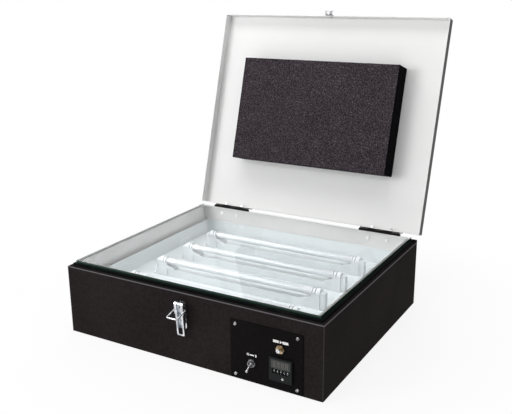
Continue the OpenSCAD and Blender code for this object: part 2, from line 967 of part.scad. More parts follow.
module hinge_cabinet_leaves() {
    color(moulded_black)
    hinge_leaf(-1, cabinet_leaf_h, cabinet_leaf_screw_z, 0);
}

// Lugs that meet the cabinet leaves when the lid is fully open
module hinge_stop_lugs() {
    lug_l = knuckle_l - knuckle_gap;
    for (sx = [-1, 1], k = [1 : 2 : knuckle_n - 1])
        translate([sx * hinge_gap / 2 + (k - (knuckle_n - 1) / 2) * knuckle_l, hinge_y, hinge_z])
            difference() {
                translate([-lug_l / 2, -barrel_r + weld_gap, -barrel_r - 3.5])
                    cube([lug_l, leaf_t, barrel_r + 2]);
                rod_x(hinge_pin_r + 1, leaf_l);
            }
}

module hinge_lid_leaves() {
    color(moulded_black) {
        at_lid()
            hinge_leaf(1, lid_leaf_h, lid_leaf_screw_z, 1);
        hinge_stop_lugs();
    }
}

module hinge_pins() {
    color(moulded_black)
    for (sx = [-1, 1])
        translate([sx * hinge_gap / 2, hinge_y, hinge_z]) {
            rod_x(hinge_pin_r, leaf_l + 1.6);
            for (s = [-1, 1])
                translate([s * (leaf_l / 2 + 0.6), 0, 0])
                    rod_x(barrel_r - 1, 0.9);
        }
}

// Pan head screw along Y with a nut on the inside: z is measured out of the back
module leaf_screw(stack) {
    difference() {
        union() {
            translate([0, 0, leaf_t])
                cylinder(h = leaf_head_h, r1 = leaf_head_r, r2 = leaf_head_r - 0.8);
            translate([0, 0, -stack - leaf_nut_h - 1])
                cylinder(h = stack + leaf_nut_h + leaf_t + 2, r = leaf_screw_r);
        }
        translate([0, 0, leaf_t + leaf_head_h])
            cross_recess(leaf_head_r - 0.8, 1);
    }
    translate([0, 0, -stack - leaf_nut_h])
        difference() {
            hex_bar(leaf_nut_af, leaf_nut_h);
            translate([0, 0, -cut])
                cylinder(h = leaf_nut_h + 2 * cut, r = leaf_screw_r + pin_fit);
        }
}

module hinge_screws_cabinet() {
    color(zinc)
    each_leaf_screw(cabinet_leaf_screw_z)
        leaf_screw(sheet + weld_gap + liner_t);
}

module hinge_screws_lid() {
    color(zinc)
    at_lid()
        each_leaf_screw(lid_leaf_screw_z)
            leaf_screw(sheet);
}

// Points where a line from p touches a circle
function touch_point(p, c, r, side) =
    let (d = p - c, l = norm(d), a = atan2(d[1], d[0]) + side * acos(r / l))
    c + r * [cos(a), sin(a)];

// Puts a side outline, drawn as [y, z], into a plate across X, centred
module side_plate(w) {
    translate([-w / 2, 0, 0])
        rotate([90, 0, 90])
            linear_extrude(height = w)
                children();
}

// Outline of one ear that holds the lever pivot
module ear_outline() {
    foot = front_y - base_t;
    low = [foot, pivot[1] - 19];
    high = [foot, pivot[1] - 5.5];
    translate(pivot)
        circle(r = ear_r);
    polygon([
        [front_y - base_t / 2, low[1]], low, touch_point(low, pivot, ear_r, -1), pivot,
        touch_point(high, pivot, ear_r, 1), high, [front_y - base_t / 2, high[1]]
    ]);
}

// Plate on the cabinet front with two ears for the lever
module latch_base() {
    color(zinc)
    difference() {
        union() {
            translate([0, front_y, (base_z0 + base_z1) / 2])
                rotate([90, 0, 0])
                    linear_extrude(height = base_t)
                        round_outline(base_w, base_z1 - base_z0, 3);
            for (s = [-1, 1])
                translate([s * (base_w - ear_t) / 2, 0, 0])
                    side_plate(ear_t)
                        ear_outline();
        }
        translate([0, pivot[0], pivot[1]])
            rod_x(pivot_r + pin_fit, base_w + 2 * cut);
        for (z = base_rivet_z)
            translate([0, front_y - base_t - cut, z])
                rotate([-90, 0, 0])
                    cylinder(h = base_t + 2 * cut, r = rivet_r + pin_fit);
    }
}

module latch_pivot_pin() {
    color(zinc)
    translate([0, pivot[0], pivot[1]])
        rod_x(pivot_r, lever_w + 0.2);
}

module latch_rivets() {
    color(zinc)
    for (z = base_rivet_z)
        translate([0, 0, z])
            rivet_y(front_y - base_t, base_t + sheet);
}

// Side outline of the lever, shifted back by d where it is cut hollow
module lever_outline(d = 0) {
    y0 = pivot[0] - lever_front + d;
    z1 = pivot[1] + lever_top;
    z0 = pivot[1] - lever_drop;
    y_tip = y0 + lever_tip_in;
    polygon([
        [y0, z1 - 3], [y0 + 0.8, z1 - 1], [y0 + 3, z1],
        [pivot[0] + 3 + 3 * d, z1], [pivot[0] + 6.2 + 3 * d, pivot[1] + 1],
        [pivot[0] + 6.6 + 3 * d, pivot[1] - 12], [y_tip + lever_tip_w + 3 * d, z0 + 8],
        [y_tip + lever_tip_w - 0.8 + 3 * d, z0], [y_tip, z0]
    ]);
}

// Lever, a channel that is open to the cabinet
module latch_lever() {
    slot_z = pivot[1] - lever_drop + lever_slot_edge;
    color(zinc)
    difference() {
        union() {
            lever_channel(lever_body_w, -lever_drop - cut, weld_gap - lever_shoulder);
            lever_channel(lever_w, -lever_shoulder, 2 * lever_top);
            stop_bumps();
        }
        side_plate(lever_groove_w)
            lever_groove();
        translate([0, pivot[0], pivot[1]])
            rod_x(pivot_r + pin_fit, lever_w + 2 * cut);
        translate([0, bail_pivot[0], bail_pivot[1]])
            rod_x(wire_r + pin_fit, lever_w + 2 * cut);
        translate([0, pivot[0] + lever_front, slot_z])
            rotate([90, 0, 0])
                linear_extrude(height = 4 * lever_front)
                    translate([0, lever_slot_h / 2])
                        round_outline(lever_slot_w, lever_slot_h, 2.5);
        lever_tip_corners();
    }
}

// Part of the lever between two heights from its pivot
module lever_channel(w, from, to) {
    intersection() {
        difference() {
            side_plate(w)
                lever_outline();
            side_plate(w - 2 * lever_t)
                lever_cavity();
        }
        translate([-w, pivot[0] - 2 * lever_front, pivot[1] + from])
            cube([2 * w, 6 * lever_front, to - from]);
    }
}

// Pressed groove down the front of the lever, between its two ribs
module lever_groove() {
    y0 = pivot[0] - lever_front;
    z1 = pivot[1] + lever_top - 3;
    z0 = pivot[1] - lever_drop;
    lean = lever_tip_in / (z1 - z0);
    top = z1 - 4;
    foot = z0 + lever_slot_edge + lever_slot_h / 2;
    polygon([
        [y0 - 1, foot], [y0 - 1, top], [y0 + lean * (z1 - top) + lever_groove_t, top],
        [y0 + lean * (z1 - foot) + lever_groove_t, foot]
    ]);
}

// Hollow of the lever: all of its outline that lies behind the front sheet
module lever_cavity() {
    translate([lever_t, 0])
        lever_outline();
    translate([lever_t + 1, -lever_slot_edge])
        lever_outline();
    translate([lever_t + 1, cut])
        lever_outline();
}

// Rounds the two lower corners of the lever
module lever_tip_corners() {
    r = 3;
    z0 = pivot[1] - lever_drop;
    for (s = [-1, 1])
        translate([s * (lever_body_w / 2 - r), pivot[0] + 2 * lever_front, z0 + r])
            rotate([90, 0, 0])
                linear_extrude(height = 6 * lever_front)
                    difference() {
                        translate([s * r / 2 + s * cut / 2, -r / 2 - cut / 2])
                            square(r + cut, center = true);
                        circle(r = r);
                    }
}

// Pressed bumps that the slack bail rests on
module stop_bumps() {
    along = [-cos(bail_droop), -sin(bail_droop)];
    below = [sin(bail_droop), -cos(bail_droop)];
    at = bail_pivot + stop_bump_reach * along + (wire_r + stop_bump_r + hole_fit) * below;
    for (s = [-1, 1])
        translate([s * (lever_w / 2 + wire_r / 2), at[0], at[1]])
            rod_x(stop_bump_r, wire_r + lever_t);
}

// Wire loop, drawn flat: pivot on the X axis and the loop towards -Y
module bail_wire() {
    loop_r = bail_loop_bend;
    end_r = bail_end_bend;
    translate([0, -bail_l, 0])
        rod_x(wire_r, 2 * (bail_half - loop_r));
    for (s = [-1, 1]) {
        translate([s * bail_half, -end_r, 0])
            rotate([90, 0, 0])
                cylinder(h = bail_l - loop_r - end_r, r = wire_r);
        translate([s * (bail_half - end_r + bail_end_x) / 2, 0, 0])
            rod_x(wire_r, bail_half - end_r - bail_end_x);
        translate([s * (bail_half - loop_r), -bail_l + loop_r, 0])
            rotate([0, 0, s > 0 ? -90 : 180])
                wire_bend(loop_r);
        translate([s * (bail_half - end_r), -end_r, 0])
            rotate([0, 0, s > 0 ? 0 : 90])
                wire_bend(end_r);
    }
}

// Quarter bend of the wire from +X to +Y
module wire_bend(r) {
    rotate_extrude(angle = 90)
        translate([r, 0])
            circle(r = wire_r);
}

// Bail on the lever that hooks the lid
module latch_bail() {
    color(zinc)
    translate([0, bail_pivot[0], bail_pivot[1]])
        rotate([bail_droop, 0, 0])
            bail_wire();
}

// Plate on the cabinet front that carries the controls
timer_case_w = timer_w - 3;
module control_plate() {
    color(panel_black)
    difference() {
        at_panel()
            linear_extrude(height = panel_t)
                difference() {
                    round_outline(panel_w, panel_h, panel_corner);
                    translate([timer_dx, -timer_dz])
                        square(timer_case_w + 2 * hole_fit, center = true);
                    translate([button_dx, button_dz])
                        circle(r = bush_r + hole_fit);
                    translate([-switch_dx, -switch_dz])
                        circle(r = bush_r + hole_fit);
                }
        each_panel_screw()
            translate([0, 0, -cut])
                cylinder(h = panel_t + 2 * cut, r = panel_screw_r + hole_fit);
    }
}

module control_plate_screws() {
    color(zinc)
    each_panel_screw()
        difference() {
            union() {
                translate([0, 0, panel_t])
                    cylinder(h = panel_head_h, r1 = panel_head_r, r2 = panel_head_r - 1);
                translate([0, 0, -sheet - clinch_h - cut])
                    cylinder(h = sheet + clinch_h + panel_t + 2 * cut, r = panel_screw_r);
            }
            translate([0, 0, panel_t + panel_head_h])
                cross_recess(panel_head_r - 1, 1);
        }
}

// Toggle switch: body, ring nut and lever
switch_bush_l = 8;
switch_pivot = panel_t + 4.5;
switch_ball_r = 2.8;
switch_pin_r = 1;
switch_pin_l = 9;
switch_nut_t = 2.4;
switch_throat_r = 4.4;
module at_switch() {
    at_panel(-switch_dx, -switch_dz)
        children();
}

module switch_body() {
    color(bare_steel)
    at_switch()
        difference() {
            union() {
                translate([-6.5, -10, -19])
                    cube([13, 20, 18.7]);
                translate([0, 0, -1])
                    cylinder(h = switch_bush_l + panel_t + 1, r = bush_r);
                for (k = [-1 : 1])
                    translate([-2.4, k * 6 - 0.4, -25])
                        cube([4.8, 0.8, 7]);
            }
            translate([0, 0, switch_pivot]) {
                sphere(r = switch_ball_r + pin_fit);
                rod_x(switch_pin_r + pin_fit, switch_pin_l + 2 * fit);
            }
            translate([0, 0, switch_pivot])
                cylinder(h = switch_bush_l + panel_t - switch_pivot,
                         r1 = switch_ball_r + pin_fit, r2 = switch_throat_r + 0.6);
            translate([0, 0, switch_pivot - 8])
                cylinder(h = 6.2, r = switch_throat_r);
        }
}

module ring_nut(af, h) {
    difference() {
        intersection() {
            hex_bar(af, h);
            cylinder(h = h, r = af / 2 + 0.6);
        }
        translate([0, 0, -cut])
            cylinder(h = h + 2 * cut, r = bush_r + pin_fit);
    }
}

module switch_nut() {
    color(bare_steel)
    at_switch()
        translate([0, 0, panel_t])
            ring_nut(15, switch_nut_t);
}

module switch_lever() {
    tip_r = 2.7;
    color(zinc)
    at_switch()
        translate([0, 0, switch_pivot])
            rotate([bat_tilt, 0, 0]) {
                sphere(r = switch_ball_r);
                rod_x(switch_pin_r, switch_pin_l);
                translate([0, 0, -6])
                    cylinder(h = 6, r = 1.1);
                cylinder(h = switch_bush_l + panel_t - switch_pivot + bat_l - tip_r, r1 = 1.6, r2 = tip_r);
                translate([0, 0, switch_bush_l + panel_t - switch_pivot + bat_l - tip_r])
                    sphere(r = tip_r);
            }
}

// Push button: bush with its case, nut and plunger
button_bush_l = 8;
plunger_r = 4;
plunger_out = 4.5;
plunger_step_r = 4.8;
module at_button() {
    at_panel(button_dx, button_dz)
        children();
}

module button_body() {
    front = panel_t + button_bush_l;
    color(brass_gold)
    at_button()
        difference() {
            union() {
                translate([0, 0, -16])
                    cylinder(h = 15.7, r = 7.5);
                translate([0, 0, -1])
                    cylinder(h = front + 1, r = bush_r);
                for (s = [-1, 1])
                    translate([s * 4 - 0.4, -1.5, -22])
                        cube([0.8, 3, 7]);
            }
            translate([0, 0, -9])
                cylinder(h = front + 10, r = plunger_r + pin_fit);
            translate([0, 0, -9])
                cylinder(h = front + 5.5, r = plunger_step_r + pin_fit);
        }
}

module button_nut() {
    color(brass_gold)
    at_button()
        translate([0, 0, panel_t])
            ring_nut(16, 3.2);
}

module button_plunger() {
    front = panel_t + button_bush_l;
    step_z = front - 3.5;
    color(zinc)
    at_button()
        difference() {
            union() {
                translate([0, 0, step_z - 3 - fit])
                    cylinder(h = 3, r = plunger_step_r);
                translate([0, 0, -9 + button_travel + fit])
                    cylinder(h = front + plunger_out - 1 + 9 - button_travel - fit, r = plunger_r);
                translate([0, 0, front + plunger_out - 1])
                    cylinder(h = 1, r1 = plunger_r, r2 = plunger_r - 1);
            }
            translate([0, 0, front + plunger_out])
                sphere(r = 1.6);
        }
}

// Timer: case, front frame, window, setting wheels, reset key and clamp
timer_front = panel_t + 4;
timer_corner = 1.5;
window_w = timer_w - 7;
window_h = timer_w / 2 - 6;
window_y = timer_w / 4 - 1;
wheel_pitch = 7;
wheel_r = 8;
wheel_w = 5;
wheel_y = -3.4;
wheel_z = timer_front - wheel_r - 0.6;
wheel_port_h = 9.2;
key_x = 5;
key_y = -16.5;
key_r = 2.5;
key_travel = 1;
module at_timer() {
    at_panel(timer_dx, -timer_dz)
        children();
}

module timer_case() {
    pocket_w = wheel_n * wheel_pitch + fit;
    color(moulded_black)
    at_timer()
        difference() {
            translate([0, 0, -timer_depth])
                linear_extrude(height = timer_depth + panel_t + 1)
                    round_outline(timer_case_w, timer_case_w, 1);
            translate([-pocket_w / 2, wheel_y - wheel_r - 1, wheel_z - wheel_r - 1])
                cube([pocket_w, 2 * wheel_r + 2, 2 * wheel_r + 10]);
            translate([0, wheel_y, wheel_z])
                rod_x(1 + pin_fit, pocket_w + 4);
            translate([key_x, key_y, panel_t - 4])
                cylinder(h = 10, r = key_r + 0.8);
            for (k = [-2 : 2])
                translate([k * 7, 0, -timer_depth])
                    cube([4, timer_case_w - 12, 6], center = true);
        }
}

module timer_bezel() {
    color(moulded_black)
    at_timer()
        difference() {
            translate([0, 0, panel_t])
                linear_extrude(height = timer_front - panel_t)
                    round_outline(timer_w, timer_w, timer_corner);
            translate([0, 0, panel_t - cut])
                linear_extrude(height = cut + 1.1)
                    square(timer_case_w + hole_fit, center = true);
            translate([0, window_y, timer_front - 1])
                linear_extrude(height = 2)
                    round_outline(window_w, window_h, 1);
            for (k = [0 : wheel_n - 1])
                translate([(k - (wheel_n - 1) / 2) * wheel_pitch, wheel_y, panel_t])
                    linear_extrude(height = 3 * timer_front)
                        square([wheel_w + 0.8, wheel_port_h], center = true);
            translate([-(wheel_n * wheel_pitch + fit) / 2, wheel_y - wheel_r - 1, panel_t])
                cube([wheel_n * wheel_pitch + fit, 2 * wheel_r + 2, 2.2]);
            translate([key_x, key_y, panel_t])
                cylinder(h = 10, r = key_r + 0.2);
        }
}

module timer_window() {
    color([0.14, 0.15, 0.14])
    at_timer()
        translate([0, window_y, timer_front - 1])
            linear_extrude(height = 0.7)
                round_outline(window_w - 0.4, window_h - 0.4, 0.8);
}

module timer_axle() {
    color(zinc)
    at_timer()
        translate([0, wheel_y, wheel_z])
            rod_x(1, wheel_n * wheel_pitch + 3.5);
}

// Setting wheel: a number drum beside a toothed rim
wheel_teeth = 20;
module timer_wheel(i) {
    rim_w = 1.4;
    tooth = 360 / wheel_teeth;
    color(moulded_black)
    at_timer()
        translate([(i - (wheel_n + 1) / 2) * wheel_pitch, wheel_y, wheel_z])
            rotate([0, 90, 0])
                translate([0, 0, -wheel_w / 2])
                    difference() {
                        union() {
                            cylinder(h = wheel_w, r = wheel_r - 0.7);
                            translate([0, 0, wheel_w - rim_w])
                                linear_extrude(height = rim_w)
                                    polygon([for (k = [0 : 2 * wheel_teeth - 1])
                                        (wheel_r - (k % 2) * 0.8)
                                            * [cos(k * tooth / 2), sin(k * tooth / 2)]]);
                        }
                        translate([0, 0, -cut])
                            cylinder(h = wheel_w + 2 * cut, r = 1 + pin_fit);
                    }
}

module timer_reset_key() {
    color(pure_white)
    at_timer()
        translate([key_x, key_y, panel_t - key_travel - fit]) {
            cylinder(h = timer_front - panel_t + key_travel + fit + 0.6, r = key_r);
            cylinder(h = key_travel + 1.1, r = key_r + 0.5);
        }
}

// Frame that clamps the timer behind the plate
module timer_clamp() {
    color(moulded_black)
    at_timer()
        translate([0, 0, -8])
            linear_extrude(height = 8 - weld_gap)
                difference() {
                    round_outline(timer_case_w + 7, timer_case_w + 7, 2);
                    square(timer_case_w + 2 * hole_fit, center = true);
                }
}

// Mains inlet in the back wall, Z pointing back and X to the viewer's left
module at_inlet() {
    translate([inlet_x, back_y, inlet_z])
        rotate([-90, 0, 0])
            children();
}

module inlet_cutout() {
    at_inlet() {
        translate([0, 0, -sheet - cut])
            linear_extrude(height = sheet + 2 * cut)
                round_outline(inlet_w + 2 * fit, inlet_h + 2 * fit, inlet_corner);
        for (s = [-1, 1])
            translate([s * inlet_screw_gap / 2, 0, -sheet - cut])
                cylinder(h = sheet + 2 * cut, r = inlet_screw_r + hole_fit);
    }
}

module power_inlet() {
    recess_w = inlet_w - 3;
    recess_h = inlet_h - 3;
    recess_l = 16;
    color(moulded_black)
    at_inlet() {
        difference() {
            union() {
                linear_extrude(height = inlet_flange_t)
                    round_outline(inlet_flange_w, inlet_flange_h, 4);
                translate([0, 0, -inlet_depth])
                    linear_extrude(height = inlet_depth + cut)
                        round_outline(inlet_w, inlet_h, inlet_corner);
            }
            translate([0, 0, inlet_flange_t - recess_l])
                linear_extrude(height = recess_l + cut)
                    polygon([
                        [-recess_w / 2, -recess_h / 2], [recess_w / 2, -recess_h / 2],
                        [recess_w / 2, recess_h / 2 - 5], [recess_w / 2 - 5, recess_h / 2],
                        [-recess_w / 2 + 5, recess_h / 2], [-recess_w / 2, recess_h / 2 - 5]
                    ]);
            for (s = [-1, 1])
                translate([s * inlet_screw_gap / 2, 0, -cut]) {
                    cylinder(h = inlet_flange_t + 2 * cut, r = inlet_screw_r + hole_fit);
                    translate([0, 0, inlet_flange_t - 0.6])
                        cylinder(h = 2 * cut, r = 3.4);
                }
        }
        for (p = [[-7, -2], [7, -2], [0, 2]])
            translate([p[0] - 1, p[1] - 2, inlet_flange_t - recess_l - cut])
                cube([2, 4, 10 + cut]);
        for (p = [[-7, -2], [7, -2], [0, 2]])
            translate([p[0] - 0.4, p[1] - 2.4, -inlet_depth - 7])
                cube([0.8, 4.8, 8]);
    }
}

module inlet_screws() {
    color(zinc)
    at_inlet()
        for (s = [-1, 1])
            translate([s * inlet_screw_gap / 2, 0, 0]) {
                difference() {
                    union() {
                        translate([0, 0, inlet_flange_t - 0.6])
                            cylinder(h = 1.9, r = 2.9);
                        translate([0, 0, -sheet - 4])
                            cylinder(h = sheet + 4 + inlet_flange_t, r = inlet_screw_r);
                    }
                    translate([0, 0, inlet_flange_t + 1.3])
                        cross_recess(2.9, 0.9);
                }
                translate([0, 0, -sheet - 2.4])
                    difference() {
                        hex_bar(5.5, 2.4);
                        translate([0, 0, -cut])
                            cylinder(h = 2.4 + 2 * cut, r = inlet_screw_r + pin_fit);
                    }
            }
}

cabinet_shell();
base_pan();
base_screws();
glass_liner();
glass_gasket();
glass_plate();
reflector_tray();
tray_rails();
lamp_bases();
lamp_tube(0);  // lamp_tube_1
lamp_tube(1);  // lamp_tube_2
lamp_tube(2);  // lamp_tube_3
lamp_tube(3);  // lamp_tube_4
lamp_caps_left();
lamp_caps_right();
lampholders(0);  // lampholders_1
lampholders(1);  // lampholders_2
lampholders(2);  // lampholders_3
lampholders(3);  // lampholders_4
lampholder_screws();
lamp_driver();
terminal_block();
control_plate();
control_plate_screws();
switch_body();
switch_nut();
switch_lever();
button_body();
button_nut();
button_plunger();
timer_case();
timer_bezel();
timer_window();
timer_axle();
timer_wheel(1);  // timer_wheel_1
timer_wheel(2);  // timer_wheel_2
timer_wheel(3);  // timer_wheel_3
timer_wheel(4);  // timer_wheel_4
timer_wheel(5);  // timer_wheel_5
timer_reset_key();
timer_clamp();
latch_base();
latch_pivot_pin();
latch_rivets();
latch_lever();
latch_bail();
lid_shell();
lid_foam();
lid_strike();
strike_rivets();
hinge_cabinet_leaves();
hinge_lid_leaves();
hinge_pins();
hinge_screws_cabinet();
hinge_screws_lid();
power_inlet();
inlet_screws();
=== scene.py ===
"""Dresses a tabletop screen exposure unit: a black light box with a glass top and a padded lid.

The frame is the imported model. Metres, x to the right, y to the back, z up from the table.
"""
import json
import math

import bmesh
import bpy
from mathutils import Matrix, Vector, noise


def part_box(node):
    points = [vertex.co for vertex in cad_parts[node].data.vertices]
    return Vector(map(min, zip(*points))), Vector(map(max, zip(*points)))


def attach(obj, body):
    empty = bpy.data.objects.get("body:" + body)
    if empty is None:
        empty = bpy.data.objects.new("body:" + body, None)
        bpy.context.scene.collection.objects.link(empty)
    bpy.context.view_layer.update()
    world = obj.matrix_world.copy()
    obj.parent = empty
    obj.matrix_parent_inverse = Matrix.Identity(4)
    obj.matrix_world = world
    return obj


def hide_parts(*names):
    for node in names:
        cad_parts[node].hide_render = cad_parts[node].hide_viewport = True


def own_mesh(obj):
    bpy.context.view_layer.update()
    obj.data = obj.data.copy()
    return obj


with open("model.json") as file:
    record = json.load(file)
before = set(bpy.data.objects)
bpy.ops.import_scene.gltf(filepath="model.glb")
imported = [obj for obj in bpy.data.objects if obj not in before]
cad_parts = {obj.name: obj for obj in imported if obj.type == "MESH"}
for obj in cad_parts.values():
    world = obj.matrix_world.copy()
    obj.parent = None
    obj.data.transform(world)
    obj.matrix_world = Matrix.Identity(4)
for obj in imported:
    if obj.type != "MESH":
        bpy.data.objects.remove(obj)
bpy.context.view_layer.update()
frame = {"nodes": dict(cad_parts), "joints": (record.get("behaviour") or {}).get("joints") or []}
NODES = frame["nodes"]
MM = 0.001

# The cabinet and the open lid, read from the frame
cabinet_low, cabinet_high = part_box("cabinet_shell")
glass_low, glass_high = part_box("glass_plate")
panel_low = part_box("control_plate")[0]
lid_joint = next(j for j in frame["joints"] if j["name"] == "lid_hinge")
HINGE = Vector(lid_joint["pos_m"])
LID_LEAN = math.radians(lid_joint["range_deg"][1])
LID_ALONG = Vector((0, -math.cos(LID_LEAN), math.sin(LID_LEAN)))
LID_OUTWARD = Vector((0, math.sin(LID_LEAN), math.cos(LID_LEAN)))

# The lid pan: depth, length, start past the hinge, the rim that stays white, and its sheet
LID_DEPTH = 24 * MM
LID_LENGTH = 508.5 * MM
LID_BACK = 7.5 * MM
LID_RIM = 0.2 * MM
SHEET = 1.5 * MM

# The photograph's viewpoint in metres and degrees, and the lens and sensor in mm
EYE = Vector((0.80616, -1.35162, 0.73406))
AZIMUTH, ELEVATION, ROLL = 30.199, 16.72, -0.518
FOCAL_MM = 52.53
SENSOR_MM = 36
FLOOR_RADIUS = 12


# Camera, floor and lamps

def aim(thing, target, roll=0.0):
    """Turns a lamp or the camera so that it looks at the target."""
    look = (Vector(target) - thing.location).normalized()
    turn = look.to_track_quat("-Z", "Y") @ Matrix.Rotation(roll, 3, "Z").to_quaternion()
    thing.rotation_euler = turn.to_euler()


def add_camera():
    """The photograph's viewpoint: right of the front corner, a little above the lid's middle."""
    azimuth, elevation, roll = (math.radians(a) for a in (AZIMUTH, ELEVATION, ROLL))
    back = Vector((math.sin(azimuth) * math.cos(elevation),
                   -math.cos(azimuth) * math.cos(elevation),
                   math.sin(elevation)))
    lens = bpy.data.cameras.new("photo_camera")
    lens.lens = FOCAL_MM
    lens.sensor_width = SENSOR_MM
    lens.clip_start, lens.clip_end = 0.05, 40
    camera = bpy.data.objects.new("photo_camera", lens)
    bpy.context.scene.collection.objects.link(camera)
    camera.location = EYE
    aim(camera, EYE - back, roll)
    bpy.context.scene.camera = camera


def add_lamp(name, place, target, size, watts):
    """A square soft box."""
    light = bpy.data.lights.new(name, "AREA")
    light.shape = "SQUARE"
    light.size = size
    light.energy = watts
    lamp = bpy.data.objects.new(name, light)
    bpy.context.scene.collection.objects.link(lamp)
    lamp.location = place
    aim(lamp, target)


def add_floor():
    """A white disc under the cabinet, wide enough to fill the view."""
    shape = bmesh.new()
    bmesh.ops.create_circle(shape, cap_ends=True, segments=64, radius=FLOOR_RADIUS)
    mesh = bpy.data.meshes.new("floor")
    shape.to_mesh(mesh)
    shape.free()
    floor = bpy.data.objects.new("floor", mesh)
    bpy.context.scene.collection.objects.link(floor)
    return floor


# How white the floor glows near the cabinet, the distances over which it turns fully white,
# the level of the fill light and its rise overhead
FLOOR_GLOW = 0.87
WHITE_FROM = (0.30, 0.85)
WORLD_LEVEL = 0.34
WORLD_RISE = 0.16


def light_studio():
    """A glowing floor, a plain fill light and soft boxes, the strongest at the front left.

    The world shows white to the camera, in gloss and through the glass.
    """
    paper = Finish("paper_floor")
    ground = paper.plain((0.86, 0.86, 0.86), 0.7, Specular_IOR_Level=0.1)
    white = paper.node("ShaderNodeEmission", sockets={"Color": (1, 1, 1, 1), "Strength": 1.0})
    far = paper.node("ShaderNodeVectorMath", {"operation": "LENGTH"}, {0: paper.place()},
                     out="Value").ramp(*WHITE_FROM)
    glow = FLOOR_GLOW + far * (1 - FLOOR_GLOW)
    paper.finish(paper.node("ShaderNodeMixShader", sockets={0: glow, 1: ground, 2: white}))
    add_floor().data.materials.append(paper.material)

    world = bpy.data.worlds.new("studio")
    bpy.context.scene.world = world
    world.use_nodes = True
    sky = Finish("studio_sky", tree=world.node_tree, output="ShaderNodeOutputWorld")
    path = sky.node("ShaderNodeLightPath")
    seen = (path["Is Camera Ray"] + path["Is Glossy Ray"] + path["Is Transmission Ray"]).clamp()
    height = sky.node("ShaderNodeSeparateXYZ",
                      sockets={0: sky.node("ShaderNodeTexCoord", out="Generated")}, out="Z")
    overhead = (height * 0.5 + 0.5).clamp()
    level = WORLD_LEVEL + overhead * WORLD_RISE
    room = sky.node("ShaderNodeBackground", sockets={"Color": (1, 1, 1, 1), "Strength": level})
    backdrop = sky.node("ShaderNodeBackground", sockets={"Color": (1, 1, 1, 1), "Strength": 1.0})
    sky.finish(sky.node("ShaderNodeMixShader", sockets={0: seen, 1: room, 2: backdrop}))

    add_lamp("front_left_box", (-1.45, -1.9, 1.1), (-0.1, 0.1, 0.3), 1.2, 34)
    add_lamp("right_box", (2.6, -0.7, 1.5), (0.2, 0, 0.1), 1.0, 0.8)
    add_lamp("top_box", (0.0, -0.4, 2.7), (0, 0.1, 0.1), 1.0, 15)
    add_lamp("tube_gleam_box", (-1.35, -0.2, 2.3), (0, 0, 0.1), 0.6, 8)
    add_lamp("back_box", (-0.8, 2.2, 1.9), (0, 0, 0.3), 1.2, 12)


# Shader helpers

class Value:
    """One socket of a shader, so that a pattern is written as plain arithmetic."""

    def __init__(self, finish, socket):
        self.finish = finish
        self.socket = socket

    def __getitem__(self, name):
        return Value(self.finish, self.socket.node.outputs[name])

    def maths(self, operation, first, second=None):
        inputs = {0: first} if second is None else {0: first, 1: second}
        return self.finish.node("ShaderNodeMath", {"operation": operation}, inputs)

    def __add__(self, other):
        return self.maths("ADD", self, other)

    def __radd__(self, other):
        return self.maths("ADD", other, self)

    def __sub__(self, other):
        return self.maths("SUBTRACT", self, other)

    def __rsub__(self, other):
        return self.maths("SUBTRACT", other, self)

    def __mul__(self, other):
        return self.maths("MULTIPLY", self, other)

    def __rmul__(self, other):
        return self.maths("MULTIPLY", other, self)

    def __gt__(self, other):
        return self.maths("GREATER_THAN", self, other)

    def __lt__(self, other):
        return self.maths("LESS_THAN", self, other)

    def __abs__(self):
        return self.maths("ABSOLUTE", self)

    def clamp(self):
        return self.finish.node("ShaderNodeClamp", sockets={"Value": self})

    def ramp(self, low, high):
        """0 below low, 1 above high, smooth between."""
        return self.finish.node("ShaderNodeMapRange", {"interpolation_type": "SMOOTHSTEP"},
                                {"Value": self, "From Min": low, "From Max": high})

    def pick(self, low, high):
        """A colour that goes from low to high as this value goes from 0 to 1."""
        return self.finish.node("ShaderNodeMix", {"data_type": "RGBA"},
                                {"Factor": self, 6: low, 7: high}, out=2)


